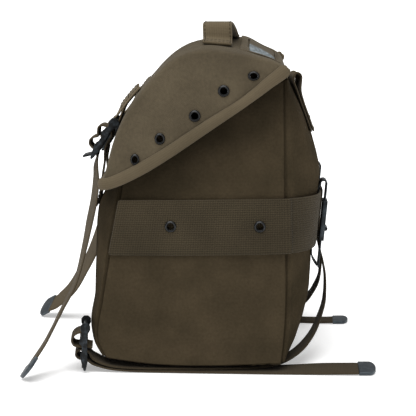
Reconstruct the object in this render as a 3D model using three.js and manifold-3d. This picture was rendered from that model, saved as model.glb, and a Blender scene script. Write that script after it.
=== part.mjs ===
import * as THREE from "three";
import { mergeVertices } from "three/addons/utils/BufferGeometryUtils.js";
import Module from "manifold-3d";

const wasm = await Module();
wasm.setup();
const { Manifold, Mesh } = wasm;

// Sizes, in millimetres. +Z is up, the front with the flap's straps faces -Y.
// The bag's sides are at +X and -X.
const HALF_WIDTH = 120;
const CANVAS = 2;
const SEAM_GAP = 0.4;
const FRONT_SQUARENESS = 6;
const BACK_SQUARENESS = 8;
const FRONT_RIM = 182;
const BACK_RIM = 238;

const FLAP_HALF_WIDTH = 122;
const WING_FLARE = 5;
const WING_FLARE_DROP = 80;
const BINDING_WIDTH = 7.4;
const BINDING_THICKNESS = 3.2;

const BAND_THICKNESS = 2.2;
const BAND_BACK_GAP = 2.6;
const BAND_SIDE_GAP = 1.8;
const BAND_HEIGHT = 45;
const BAND_BACK_Z = 122;
const BAND_FRONT_DROP = 1.8;

const STRAP_WIDTH = 25;
const STRAP = 2.2;
const STRAP_REST = STRAP / 2 + 0.5;
const WEB = { width: STRAP_WIDTH, thickness: STRAP, perRow: 2 };
const TIP_LENGTH = 13;
const TIP_THICKNESS = 3;

const EYELET_RADIUS = 4.6;
const EYELET_HOLE = 2.6;
const EYELET_BARREL = 3.4;
const EYELET_CUT = 3.8;
const EYELET_FLANGE = 0.9;
const EYELET_SIDES = 12;

const FLAP_BUCKLE_X = 65;
const FLAP_BUCKLE_TOP = { right: { y: -72, z: 200.5 }, left: { y: -75.8, z: 193.3 } };
const FLAP_BUCKLE_TILT = THREE.MathUtils.degToRad(-31.7);
const BASE_BUCKLE = { x: 108, y: -94.2, z: 4.6 };
const BASE_BUCKLE_YAW = THREE.MathUtils.degToRad(5);
const BUCKLE_RAIL_X = 14.4;
const BUCKLE_RAIL = 2;
const BUCKLE_BAR = 1.5;

const CLIP_X = 60;
const CLIP_WIDTH = 18;
const CLIP_STEEL = 1.2;
const CLIP_TILT = THREE.MathUtils.degToRad(-5.25);
const CLIP_FOOT = { y: 90.4, z: 97 };
const LOOP_X = 62;

// How the canvas body stands: where its corner seams are, and how far each wall swells past them
const BODY_SECTIONS = [
  { z: 8, front: -76.3, back: 68, frontSwell: 4, backSwell: 2, sideSwell: 0 },
  { z: 28, front: -85.4, back: 70, frontSwell: 7, backSwell: 10.5, sideSwell: 2.5 },
  { z: 61, front: -81, back: 71.5, frontSwell: 8.4, backSwell: 18, sideSwell: 4.5 },
  { z: 97, front: -74.8, back: 71, frontSwell: 14, backSwell: 19.5, sideSwell: 5 },
  { z: 134, front: -67.8, back: 70.2, frontSwell: 18, backSwell: 23.7, sideSwell: 4.4 },
  { z: 146, front: -65.6, back: 70, frontSwell: 14, backSwell: 24.9, sideSwell: 3 },
  { z: 163, front: -63.4, back: 69.7, frontSwell: 10.6, backSwell: 26.5, sideSwell: 0.5 },
  { z: 191, front: -61.6, back: 69.3, frontSwell: 5.4, backSwell: 20, sideSwell: -2.5 },
  { z: 216, front: -60.8, back: 69, frontSwell: 3.7, backSwell: 10.5, sideSwell: -3 },
  { z: 240, front: -61, back: 68.5, frontSwell: 2, backSwell: 1.5, sideSwell: -2 },
];

// The lower edge of a side wall, from the front seam (0) to the back seam (1)
const LOWER_EDGE = [
  { u: 0, z: 13.5 },
  { u: 0.25, z: 8.4 },
  { u: 0.55, z: 7 },
  { u: 1, z: 9.5 },
];

// The flap's side seam from the back panel over the top to the front hem, and its crown between the seams
const FLAP_PROFILE = [
  { y: 69, z: 240.6, crown: 1.5 },
  { y: 68.4, z: 246, crown: -0.6 },
  { y: 61.5, z: 251.7, crown: -3.6 },
  { y: 38, z: 257.9, crown: 2.6 },
  { y: 2, z: 262, crown: 4 },
  { y: -22, z: 254, crown: 3.5 },
  { y: -41, z: 235.5, crown: 3 },
  { y: -57, z: 214.5, crown: 3 },
  { y: -68, z: 192, crown: 3 },
  { y: -74.5, z: 169, crown: 3 },
  { y: -78, z: 151, crown: 3.5 },
];

// The bound lower edge of a flap wing, from the ear at the back to the front corner
const WING_EDGE = [
  { y: 70, z: 246 },
  { y: 66.5, z: 240.6 },
  { y: 60, z: 235.7 },
  { y: 47.5, z: 225.4 },
  { y: 16, z: 204 },
  { y: -15.6, z: 182.5 },
  { y: -31.5, z: 171.4 },
  { y: -47.5, z: 162.4 },
  { y: -63.5, z: 154.4 },
  { y: -71.5, z: 151.8 },
  { y: -78.5, z: 151.2 },
];

const WING_EYELETS = [
  { y: 42.5, z: 241.8 },
  { y: 19, z: 230 },
  { y: -3.8, z: 210.3 },
  { y: -31.5, z: 192.1 },
  { y: -51.4, z: 175.4 },
];

const BAND_EYELETS = [
  { y: -23.2, z: 122.1 },
  { y: 47.9, z: 122.1 },
];

// A buckle from the side: out is away from the bag, up is along the rail
const BUCKLE_RAIL_OUTLINE = [
  { out: 0.2, up: -2.6 },
  { out: 1.8, up: -2.6 },
  { out: 3.6, up: 4.4 },
  { out: 4.4, up: 8.6 },
  { out: 4.2, up: 11.6 },
  { out: 2.8, up: 14.4 },
  { out: 3, up: 18.2 },
  { out: 5.4, up: 20.4 },
  { out: 4.6, up: 23.4 },
  { out: 2.6, up: 28 },
  { out: 4, up: 31.4 },
  { out: 4, up: 34.7 },
  { out: 1.8, up: 37 },
  { out: -1.8, up: 37 },
  { out: -4, up: 34.7 },
  { out: -4, up: 31.4 },
  { out: -2, up: 28 },
  { out: -1.4, up: 22.9 },
  { out: -1.4, up: 4 },
];
const BUCKLE_BARS = [
  { out: 0, up: 33.1 },
  { out: 3.6, up: 21 },
  { out: 2.2, up: 10.8 },
  { out: 1.6, up: 1.1 },
];
const BUCKLE_TONGUE = { out: 1.6, up: 1, width: 20, thickness: 1.8 };
const FLAP_TONGUE = { length: 9, drop: 45 };
const BASE_TONGUE = { length: 3, drop: 60 };

// How a strap goes through a buckle on the flap and at the base, in the buckle's own out and up
const FLAP_WEAVE = [
  { out: -4.2, up: 11.1 },
  { out: -3.7, up: 18.2 },
  { out: -3.4, up: 22.6 },
  { out: -1.2, up: 25.7 },
  { out: 3, up: 26.5 },
  { out: 7.4, up: 25.5 },
  { out: 9.2, up: 22.7 },
  { out: 7.8, up: 19 },
  { out: 6, up: 16 },
  { out: 8.2, up: 13.7 },
  { out: 9.8, up: 10.2 },
  { out: 8, up: 6.6 },
  { out: 3.6, up: 5.2 },
  { out: -0.6, up: 3.2 },
];
const BASE_WEAVE = [
  { out: -4.4, up: 8.4 },
  { out: -2.4, up: 11.7 },
  { out: 0.8, up: 13.8 },
  { out: 4.4, up: 14 },
  { out: 7.4, up: 12.2 },
  { out: 7.8, up: 8.9 },
  { out: 5.4, up: 6.8 },
  { out: 1.8, up: 6.2 },
  { out: -2, up: 4.8 },
];

// The tabs that hold the buckles: the flap's one lies on the flap, the base's one loops round the second bar
const FLAP_TAB = { top: 231, bottom: { right: 211, left: 204 }, rows: 4, over: 0.7 };
const BASE_TAB = [
  { out: -5.6, up: 15.9 },
  { out: -3.6, up: 16.3 },
  { out: -1, up: 16.8 },
  { out: 4.6, up: 16.7 },
  { out: 9.4, up: 17.8 },
  { out: 11.2, up: 21.4 },
  { out: 9.4, up: 26 },
  { out: 4.6, up: 28.4 },
  { out: 0.6, up: 27.2 },
  { out: -0.6, up: 24.4 },
];

// How a flap strap climbs the front wall to its buckle
const STRAP_ON_WALL = { low: 130, high: 140, rows: 2, over: 0.5 };
const STRAP_CLIMB = [
  { y: -84.4, z: 148 },
  { y: -83.2, z: 156 },
  { y: -82, z: 166 },
];

// Free ends of the flap straps, from the buckle to the floor
const FLAP_STRAP_END_RIGHT = [
  { x: 65, y: -89, z: 163, turn: 0 },
  { x: 67, y: -88.8, z: 152, turn: 4 },
  { x: 71, y: -90.3, z: 135, turn: 12 },
  { x: 74, y: -93.5, z: 118.6, turn: 15 },
  { x: 80, y: -98.2, z: 94.3, turn: 13 },
  { x: 92, y: -104.2, z: 69.5, turn: 8 },
  { x: 110, y: -114.4, z: 48, turn: 5 },
  { x: 128, y: -124.4, z: 28, turn: 4 },
  { x: 144.6, y: -134.2, z: 12.6, turn: 7 },
];
const FLAP_STRAP_END_LEFT = [
  { x: -65.6, y: -92.4, z: 156, turn: 3 },
  { x: -68, y: -91.6, z: 135, turn: 10 },
  { x: -71, y: -96, z: 103, turn: 20 },
  { x: -74, y: -107, z: 68, turn: 24 },
  { x: -77, y: -116.5, z: 49.3, turn: 24 },
  { x: -82, y: -128.5, z: 30, turn: 18 },
  { x: -88, y: -144, z: 15.8, turn: 12 },
  { x: -93, y: -152.5, z: 10.3, turn: 8 },
];
const BASE_STRAP_ENDS = {
  right: { x: 112, y: 131, lean: 0.13 },
  left: { x: -76, y: 119.5, lean: 0 },
};

// How a base strap's free end comes down to the floor under the bag, and where its far edge lifts again
const FLOOR_RUN = [
  { y: -88, lift: 6, lean: 0 },
  { y: -81, lift: 3.6, lean: 0 },
  { y: -73, lift: 1.8, lean: 0 },
  { y: -61, lift: 0.6, lean: 0 },
  { y: -45, lift: 0.1, lean: 0 },
  { y: -28, lift: 0, lean: 0 },
  { y: 30, lift: 0, lean: 0 },
  { y: 70, lift: 0, lean: 0.4 },
  { y: 100, lift: 0, lean: 1 },
];

// A base strap from the band at the back, hanging slack and going under the bag
const BASE_STRAP_SLACK = [
  { x: 34, y: 100.9, z: 142 },
  { x: 34, y: 98.2, z: 112 },
  { x: 34.3, y: 98.4, z: 100 },
  { x: 35, y: 100.2, z: 90 },
  { x: 38.6, y: 102.8, z: 79 },
  { x: 44.4, y: 104.6, z: 66 },
  { x: 52, y: 103.4, z: 48 },
  { x: 61, y: 99.2, z: 35 },
  { x: 71, y: 92.8, z: 24.4 },
  { x: 82, y: 83.6, z: 15.4 },
  { x: 91, y: 74, z: 9.4 },
  { x: 97, y: 63, z: 5.6 },
  { x: 101, y: 48, z: 3.9 },
  { x: 105, y: 20, z: 3.7 },
  { x: 106.5, y: -28, z: 3.7 },
  { x: 107, y: -45, z: 3.8 },
  { x: 107.3, y: -61, z: 4.3 },
  { x: 107.5, y: -73, z: 5.5 },
  { x: 107.7, y: -81, z: 7.8 },
  { x: 107.8, y: -86.2, z: 10.3 },
];

// A harness loop: two layers sewn to the back panel low down, open at the top. The left one sits lower.
const LOOP_SHIFT = { right: { y: 0, z: 0 }, left: { y: 3.6, z: -9 } };
const HARNESS_LOOP = [
  { y: 90.6, z: 192.6 },
  { y: 86.6, z: 204 },
  { y: 81.4, z: 216 },
  { y: 76.6, z: 227 },
  { y: 73.7, z: 234 },
  { y: 73.9, z: 239 },
  { y: 77.2, z: 241 },
  { y: 80.5, z: 239 },
  { y: 81, z: 234 },
  { y: 81.8, z: 227 },
  { y: 84.4, z: 216.6 },
  { y: 89.4, z: 204.8 },
  { y: 93.4, z: 193.4 },
];

// The carry handle along the bag's width: height is over the flap
const HANDLE = [
  { x: 82, y: 12.6, height: 1.7 },
  { x: 68, y: 12.6, height: 1.8 },
  { x: 61.8, y: 12.6, height: 4.2 },
  { x: 60, y: 12.4, height: 10.4 },
  { x: 58, y: 12.2, height: 15.2 },
  { x: 52, y: 12.2, height: 17.2 },
  { x: 28, y: 13.4, height: 15.8 },
  { x: 0, y: 15, height: 11.4 },
  { x: -28, y: 16.2, height: 6.6 },
  { x: -50, y: 16.8, height: 2.8 },
  { x: -60, y: 17, height: 1.8 },
  { x: -80, y: 17.2, height: 1.7 },
];
const HANDLE_WIDTH = 24.6;
const HANDLE_LEVEL = 10;

const WINDOW = { x: 98, front: 30.5, back: 63.5, border: 5, lift: 0.4, frame: 1.3, pane: 0.6 };

// The bent strip of a belt clip from the side: out is away from the bag, up is along the strip
const CLIP_INNER_LEG = [
  { out: 7.2, up: -16.4 },
  { out: 4.8, up: -13.6 },
  { out: 2.4, up: -9.6 },
  { out: 1.3, up: -4 },
  { out: 1.15, up: 6 },
  { out: 1.15, up: 30 },
  { out: 1.2, up: 43 },
  { out: 1.4, up: 47.4 },
];
const CLIP_BEND = { out: 5.7, up: 53, radius: 2.7, steps: 10 };
const CLIP_OUTER_LEG = { out: 8.4, from: 52, to: -18, rows: 5 };
const SLIDE = { low: 5.2, length: 33.6, half: 10.6, inner: 6.8, outer: 10.1 };
const SLIDE_SLOT = { half: 9.4, inner: 7.5, outer: 9.3 };
const SLIDE_NUB = { out: 11.2, up: 15, radius: 1.8, length: 14 };

// Materials
const canvas = () => new THREE.MeshStandardMaterial({ color: 0x5a5040, roughness: 0.95 });
const webbing = () => new THREE.MeshStandardMaterial({ color: 0x524838, roughness: 0.95 });
const darkSteel = () => new THREE.MeshStandardMaterial({ color: 0x2b2c2b, roughness: 0.5, metalness: 0.7 });
const greySteel = () => new THREE.MeshStandardMaterial({ color: 0x4a5054, roughness: 0.5, metalness: 0.7 });
const clearFilm = () => new THREE.MeshStandardMaterial({ color: 0x7e8287, roughness: 0.2 });

const bag = new THREE.Group();
bag.name = "belt_bag";

function add(name, geometry, material) {
  const mesh = new THREE.Mesh(geometry, material);
  mesh.name = name;
  bag.add(mesh);
}

// Smooth reading of one column of a table at a place along another column
function read(rows, along, at, column) {
  const last = rows.length - 1;
  const rising = rows[last][along] > rows[0][along];
  let i = 0;
  while (i < last - 1 && (rising ? at > rows[i + 1][along] : at < rows[i + 1][along])) i += 1;
  const slope = (k) => {
    const before = rows[Math.max(k - 1, 0)];
    const after = rows[Math.min(k + 1, last)];
    return (after[column] - before[column]) / (after[along] - before[along]);
  };
  const step = rows[i + 1][along] - rows[i][along];
  const t = THREE.MathUtils.clamp((at - rows[i][along]) / step, 0, 1);
  const near = 2 * t ** 3 - 3 * t ** 2 + 1;
  const nearSlope = (t ** 3 - 2 * t ** 2 + t) * step;
  const far = 3 * t ** 2 - 2 * t ** 3;
  const farSlope = (t ** 3 - t ** 2) * step;
  return near * rows[i][column] + nearSlope * slope(i) + far * rows[i + 1][column] + farSlope * slope(i + 1);
}

const section = (z, column) => read(BODY_SECTIONS, "z", z, column);
const frontFace = (x, z) =>
  section(z, "front") - section(z, "frontSwell") * (1 - Math.abs(x / HALF_WIDTH) ** FRONT_SQUARENESS);
const backFace = (x, z) =>
  section(z, "back") + section(z, "backSwell") * (1 - Math.abs(x / HALF_WIDTH) ** BACK_SQUARENESS);
const sideFace = (u, z) => HALF_WIDTH + section(z, "sideSwell") * Math.sin(Math.PI * u) ** 0.7;

// Turns a closed surface that faces inwards so that it faces out
function faceOut(geometry) {
  const p = geometry.getAttribute("position");
  const index = geometry.getIndex().array;
  const a = new THREE.Vector3();
  const b = new THREE.Vector3();
  const c = new THREE.Vector3();
  let volume = 0;
  for (let i = 0; i < index.length; i += 3) {
    a.fromBufferAttribute(p, index[i]);
    b.fromBufferAttribute(p, index[i + 1]);
    c.fromBufferAttribute(p, index[i + 2]);
    volume += a.dot(b.cross(c));
  }
  if (volume < 0) {
    for (let i = 0; i < index.length; i += 3) [index[i], index[i + 1]] = [index[i + 1], index[i]];
  }
  return geometry;
}

function closedGrid(outer, inner, rows, columns) {
  const points = [...outer, ...inner];
  const index = [];
  const half = outer.length;
  const at = (layer, r, c) => layer * half + r * columns + c;
  const quad = (a, b, c, d) => index.push(a, b, c, a, c, d);
  for (let r = 0; r < rows - 1; r += 1) {
    for (let c = 0; c < columns - 1; c += 1) {
      quad(at(0, r, c), at(0, r, c + 1), at(0, r + 1, c + 1), at(0, r + 1, c));
      quad(at(1, r, c), at(1, r + 1, c), at(1, r + 1, c + 1), at(1, r, c + 1));
    }
    quad(at(0, r + 1, 0), at(1, r + 1, 0), at(1, r, 0), at(0, r, 0));
    quad(at(0, r, columns - 1), at(1, r, columns - 1), at(1, r + 1, columns - 1), at(0, r + 1, columns - 1));
  }
  for (let c = 0; c < columns - 1; c += 1) {
    quad(at(0, 0, c), at(1, 0, c), at(1, 0, c + 1), at(0, 0, c + 1));
    quad(at(0, rows - 1, c + 1), at(1, rows - 1, c + 1), at(1, rows - 1, c), at(0, rows - 1, c));
  }
  const geometry = new THREE.BufferGeometry();
  const numbers = points.flatMap((v) => [v.x, v.y, v.z]);
  geometry.setAttribute("position", new THREE.Float32BufferAttribute(numbers, 3));
  geometry.setIndex(index);
  return faceOut(geometry);
}

// A sheet over a surface: u and v run from 0 to 1, side is +1 or -1 for which way the sheet's normal points
function sheet(surface, { rows, columns, from, to, side }) {
  const outer = [];
  const inner = [];
  const h = 1e-3;
  for (let r = 0; r < rows; r += 1) {
    for (let c = 0; c < columns; c += 1) {
      const u = c / (columns - 1);
      const v = r / (rows - 1);
      const p = surface(u, v);
      const du = surface(Math.min(u + h, 1), v).sub(surface(Math.max(u - h, 0), v));
      const dv = surface(u, Math.min(v + h, 1)).sub(surface(u, Math.max(v - h, 0)));
      const normal = du.cross(dv).normalize().multiplyScalar(side);
      outer.push(p.clone().addScaledVector(normal, to));
      inner.push(p.clone().addScaledVector(normal, from));
    }
  }
  return closedGrid(outer, inner, rows, columns);
}

// A flat strip along a smooth route. Each row is a Vector3 with the direction of its width.
function ribbon(route, { width, thickness, perRow }) {
  const steps = (route.length - 1) * perRow;
  const curve = new THREE.CatmullRomCurve3(route.map((row) => row.point), false, "centripetal");
  const outer = [];
  const inner = [];
  for (let i = 0; i <= steps; i += 1) {
    const t = i / steps;
    const along = t * (route.length - 1);
    const k = Math.min(Math.floor(along), route.length - 2);
    const across = route[k].across.clone().lerp(route[k + 1].across, along - k);
    const tangent = curve.getTangent(t);
    across.addScaledVector(tangent, -across.dot(tangent)).normalize();
    const normal = new THREE.Vector3().crossVectors(tangent, across);
    const p = curve.getPoint(t);
    for (const edge of [-0.5, 0.5]) {
      const q = p.clone().addScaledVector(across, edge * width);
      outer.push(q.clone().addScaledVector(normal, thickness / 2));
      inner.push(q.clone().addScaledVector(normal, -thickness / 2));
    }
  }
  return closedGrid(outer, inner, steps + 1, 2);
}

// The frame at the far end of a ribbon's route
function routeEnd(route) {
  const curve = new THREE.CatmullRomCurve3(route.map((row) => row.point), false, "centripetal");
  const last = route[route.length - 1];
  const along = curve.getTangent(1);
  const across = last.across.clone().addScaledVector(along, -last.across.dot(along)).normalize();
  const out = new THREE.Vector3().crossVectors(across, along);
  return new THREE.Matrix4().makeBasis(across, along, out).setPosition(last.point);
}

const ACROSS_X = new THREE.Vector3(1, 0, 0);
const routeRow = (x, y, z, across = ACROSS_X) => ({ point: new THREE.Vector3(x, y, z), across });

function solidOf(geometry) {
  const bare = geometry.clone();
  bare.deleteAttribute("normal");
  bare.deleteAttribute("uv");
  const welded = mergeVertices(bare, 1e-4);
  const mesh = new Mesh({
    numProp: 3,
    vertProperties: new Float32Array(welded.getAttribute("position").array),
    triVerts: new Uint32Array(welded.getIndex().array),
  });
  mesh.merge();
  return new Manifold(mesh);
}

function geometryOf(solid) {
  const mesh = solid.getMesh();
  const geometry = new THREE.BufferGeometry();
  geometry.setAttribute("position", new THREE.Float32BufferAttribute(mesh.vertProperties, 3));
  geometry.setIndex([...mesh.triVerts]);
  return geometry;
}

const cut = (geometry, cutters) =>
  geometryOf(cutters.reduce((solid, cutter) => solid.subtract(solidOf(cutter)), solidOf(geometry)));
const join = (pieces) =>
  geometryOf(pieces.slice(1).reduce((solid, piece) => solid.add(solidOf(piece)), solidOf(pieces[0])));

// Shapes drawn in the plane of the bag's side go from (y, z) to the world, extruded along +X
const SIDE_PLANE = new THREE.Matrix4().makeBasis(
  new THREE.Vector3(0, 1, 0),
  new THREE.Vector3(0, 0, 1),
  new THREE.Vector3(1, 0, 0),
);
function sidePlate(shape, x, depth) {
  const plate = new THREE.ExtrudeGeometry(shape, { depth, bevelEnabled: false, curveSegments: 6 });
  return plate.applyMatrix4(SIDE_PLANE).translate(x, 0, 0);
}

const spline2 = (rows, count) =>
  new THREE.SplineCurve(rows.map((row) => new THREE.Vector2(row.y, row.z))).getSpacedPoints(count);

function offsetLine(points, distance) {
  return points.map((p, i) => {
    const before = points[Math.max(i - 1, 0)];
    const after = points[Math.min(i + 1, points.length - 1)];
    const along = after.clone().sub(before).normalize();
    return new THREE.Vector2(p.x + along.y * distance, p.y - along.x * distance);
  });
}

// Canvas body
const edgeSpread = (u) => Math.sin((u - 0.5) * Math.PI);
add("front_panel", sheet((u, v) => {
  const x = HALF_WIDTH * edgeSpread(u);
  const z = THREE.MathUtils.lerp(LOWER_EDGE[0].z, FRONT_RIM, v);
  return new THREE.Vector3(x, frontFace(x, z), z);
}, { rows: 15, columns: 17, from: -CANVAS, to: 0, side: 1 }), canvas());

add("back_panel", sheet((u, v) => {
  const x = HALF_WIDTH * edgeSpread(u);
  const z = THREE.MathUtils.lerp(LOWER_EDGE[3].z, BACK_RIM, v);
  return new THREE.Vector3(x, backFace(x, z), z);
}, { rows: 18, columns: 19, from: -CANVAS, to: 0, side: -1 }), canvas());

for (const [name, sign] of [["right", 1], ["left", -1]]) {
  add(`side_panel_${name}`, sheet((u, v) => {
    const low = read(LOWER_EDGE, "u", u, "z");
    const z = THREE.MathUtils.lerp(low, THREE.MathUtils.lerp(FRONT_RIM, BACK_RIM, u), v);
    const inset = CANVAS + SEAM_GAP;
    const y = THREE.MathUtils.lerp(section(z, "front") + inset, section(z, "back") - inset, u);
    return new THREE.Vector3(sign * sideFace(u, z), y, z);
  }, { rows: 15, columns: 13, from: -CANVAS, to: 0, side: sign }), canvas());
}

add("base_panel", sheet((u, v) => {
  const reach = HALF_WIDTH - CANVAS - SEAM_GAP - 0.4;
  const z = read(LOWER_EDGE, "u", v, "z") - 1.4 * Math.sin(Math.PI * v);
  const front = section(LOWER_EDGE[0].z, "front") + CANVAS + SEAM_GAP + 0.4;
  const back = section(LOWER_EDGE[3].z, "back") - CANVAS - SEAM_GAP - 0.4;
  return new THREE.Vector3(reach * (2 * u - 1), THREE.MathUtils.lerp(front, back, v), z);
}, { rows: 9, columns: 5, from: 0, to: CANVAS, side: 1 }), canvas());

// Flap
const flapSeam = new THREE.CatmullRomCurve3(
  FLAP_PROFILE.map((row) => new THREE.Vector3(0, row.y, row.z)), false, "centripetal");
const FLAP_ROWS = FLAP_PROFILE.length - 1;
function flapPoint(x, t) {
  const along = t * FLAP_ROWS;
  const k = Math.min(Math.floor(along), FLAP_ROWS - 1);
  const crown = THREE.MathUtils.lerp(FLAP_PROFILE[k].crown, FLAP_PROFILE[k + 1].crown, along - k);
  const tangent = flapSeam.getTangent(t);
  const rise = crown * (1 - (x / FLAP_HALF_WIDTH) ** 2);
  return flapSeam.getPoint(t).add(new THREE.Vector3(x, tangent.z * rise, -tangent.y * rise));
}
function flapPlace(column, value) {
  let low = 0.05;
  let high = 1;
  for (let i = 0; i < 40; i += 1) {
    const middle = (low + high) / 2;
    if (flapSeam.getPoint(middle)[column] > value) low = middle;
    else high = middle;
  }
  return low;
}
const flapHeight = (x, y) => flapPoint(x, flapPlace("y", y)).z;
const flapNormal = (x, t) => {
  const along = flapPoint(x, Math.min(t + 1e-3, 1)).sub(flapPoint(x, t - 1e-3)).normalize();
  return new THREE.Vector3(0, along.z, -along.y);
};

const hemStart = 1 - BINDING_WIDTH / flapSeam.getLength() * 1.3;
const flapSheet = (spread, start, end) => (u, v) =>
  flapPoint(spread * edgeSpread(u), THREE.MathUtils.lerp(start, end, v));
add("flap_top", sheet(flapSheet(FLAP_HALF_WIDTH, 0, hemStart),
  { rows: 34, columns: 11, from: -CANVAS, to: 0, side: -1 }), canvas());
add("flap_hem_binding", sheet(flapSheet(FLAP_HALF_WIDTH, hemStart + 0.003, 1),
  { rows: 3, columns: 11, from: -CANVAS - 0.6, to: BINDING_THICKNESS - CANVAS - 0.6, side: -1 }), webbing());

// Flap wings, their bound edges and eyelets
const flare = (y, z) => {
  const seamZ = flapSeam.getPoint(flapPlace("y", THREE.MathUtils.clamp(y, -77.9, 68))).z;
  return WING_FLARE * THREE.MathUtils.clamp((seamZ - z) / WING_FLARE_DROP, 0, 1);
};
function flareOut(geometry, sign) {
  const p = geometry.getAttribute("position");
  for (let i = 0; i < p.count; i += 1) p.setX(i, p.getX(i) + sign * flare(p.getY(i), p.getZ(i)));
  return geometry;
}

const wingEdge = spline2(WING_EDGE, 26);
const bindingTop = offsetLine(wingEdge, BINDING_WIDTH);
const wingLow = offsetLine(wingEdge, BINDING_WIDTH + SEAM_GAP);
const seamLine = [];
for (let i = 0; i <= 22; i += 1) {
  const p = flapSeam.getPoint(THREE.MathUtils.lerp(flapPlace("y", 61), hemStart - 0.004, i / 22));
  seamLine.push(new THREE.Vector2(p.y, p.z));
}
const lowLine = wingLow.filter((p) => p.x < 58.5 && p.x > -71);
const wingShape = new THREE.Shape([...seamLine, ...lowLine.slice().reverse()]);
for (const eyelet of WING_EYELETS) {
  const hole = new THREE.Path();
  hole.absarc(eyelet.y, eyelet.z, EYELET_CUT, 0, 2 * Math.PI, true);
  wingShape.holes.push(hole);
}
const bindingShape = new THREE.Shape([...wingEdge, ...bindingTop.slice().reverse()]);

function eyelet(thickness) {
  const half = thickness / 2 + 0.5;
  const full = half + EYELET_FLANGE;
  const profile = [
    [EYELET_HOLE, -full], [EYELET_RADIUS - 0.5, -full], [EYELET_RADIUS, -half], [EYELET_BARREL, -half],
    [EYELET_BARREL, half], [EYELET_RADIUS, half], [EYELET_RADIUS - 0.5, full], [EYELET_HOLE, full],
    [EYELET_HOLE, -full],
  ].map(([r, h]) => new THREE.Vector2(r, h));
  const ring = mergeVertices(bareGeometry(new THREE.LatheGeometry(profile, EYELET_SIDES)), 1e-4);
  return faceOut(ring.rotateZ(Math.PI / 2));
}
function bareGeometry(geometry) {
  geometry.deleteAttribute("normal");
  geometry.deleteAttribute("uv");
  return geometry;
}

const wingInside = FLAP_HALF_WIDTH + SEAM_GAP;
for (const [name, sign] of [["right", 1], ["left", -1]]) {
  const sheetX = sign > 0 ? wingInside : -wingInside - CANVAS;
  add(`flap_wing_${name}`, flareOut(sidePlate(wingShape, sheetX, CANVAS), sign), canvas());
  const bindingInside = wingInside - (BINDING_THICKNESS - CANVAS) / 2 + 0.4;
  const bindingX = sign > 0 ? bindingInside : -bindingInside - BINDING_THICKNESS;
  const bindingPlate = sidePlate(bindingShape, bindingX, BINDING_THICKNESS);
  add(`wing_binding_${name}`, flareOut(bindingPlate, sign), webbing());
  WING_EYELETS.forEach(({ y, z }, i) => {
    const x = sign * (wingInside + CANVAS / 2 + flare(y, z));
    add(`wing_eyelet_${name}_${i + 1}`, eyelet(CANVAS).translate(x, y, z), darkSteel());
  });
}

// Web band round the sides and the back
function bandPoint(u, v) {
  const side = 142;
  const total = 2 * (side + HALF_WIDTH);
  const s = u * total;
  const lift = (v - 0.5) * BAND_HEIGHT + BAND_BACK_Z;
  const onSide = Math.min(s, total - s);
  if (onSide < side) {
    const t = onSide / side;
    const z = lift - BAND_FRONT_DROP * (1 - t);
    const y = THREE.MathUtils.lerp(section(z, "front") + 1, section(z, "back"), t);
    const x = sideFace(t, z) + BAND_SIDE_GAP;
    return new THREE.Vector3(s < total / 2 ? x : -x, y, z);
  }
  const x = (HALF_WIDTH + BAND_SIDE_GAP) * Math.cos((s - side) / (2 * HALF_WIDTH) * Math.PI);
  const inner = Math.min(Math.abs(x), HALF_WIDTH);
  const gap = BAND_BACK_GAP * (1 - 0.6 * (inner / HALF_WIDTH) ** 6);
  return new THREE.Vector3(x, backFace(inner, lift) + gap, lift);
}
const bandSheet = sheet(bandPoint, { rows: 4, columns: 53, from: 0, to: BAND_THICKNESS, side: 1 });
const bandCutters = [];
const bandEyelets = [];
for (const [name, sign] of [["right", 1], ["left", -1]]) {
  BAND_EYELETS.forEach(({ y, z }, i) => {
    const t = (y - section(z, "front")) / (section(z, "back") - section(z, "front"));
    const x = sideFace(t, z) + BAND_SIDE_GAP + BAND_THICKNESS / 2;
    const barrel = new THREE.CylinderGeometry(EYELET_CUT, EYELET_CUT, 12, EYELET_SIDES);
    bandCutters.push(barrel.rotateZ(Math.PI / 2).translate(sign * x, y, z));
    bandEyelets.push([`band_eyelet_${name}_${i + 1}`, eyelet(BAND_THICKNESS).translate(sign * x, y, z)]);
  });
}
add("side_band", cut(bandSheet, bandCutters), webbing());
for (const [name, geometry] of bandEyelets) add(name, geometry, darkSteel());

// Carry handle and card window on the flap
add("carry_handle", ribbon(
  HANDLE.map(({ x, y, height }) => {
    const slope = (flapHeight(x, y + 6) - flapHeight(x, y - 6)) / 12;
    const level = Math.min(height / HANDLE_LEVEL, 1);
    return routeRow(x, y, flapHeight(x, y) + height, new THREE.Vector3(0, 1, slope * (1 - level)));
  }),
  { width: HANDLE_WIDTH, thickness: STRAP, perRow: 3 }), webbing());

const windowStart = flapPlace("y", WINDOW.back);
const windowEnd = flapPlace("y", WINDOW.front);
const windowTrim = WINDOW.border / flapSeam.getLength();
const windowSheet = (inset) => (u, v) =>
  flapPoint((WINDOW.x - inset) * (2 * u - 1), THREE.MathUtils.lerp(
    windowStart + inset / WINDOW.border * windowTrim, windowEnd - inset / WINDOW.border * windowTrim, v));
const frameSheet = sheet(windowSheet(0),
  { rows: 8, columns: 7, from: WINDOW.lift, to: WINDOW.lift + WINDOW.frame, side: -1 });
const frameCut = sheet(windowSheet(WINDOW.border),
  { rows: 6, columns: 7, from: -3, to: 5, side: -1 });
add("card_window_frame", cut(frameSheet, [frameCut]), canvas());
add("card_window_pane", sheet(windowSheet(WINDOW.border + 0.6),
  { rows: 6, columns: 7, from: WINDOW.lift, to: WINDOW.lift + WINDOW.pane, side: -1 }), clearFilm());

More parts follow.
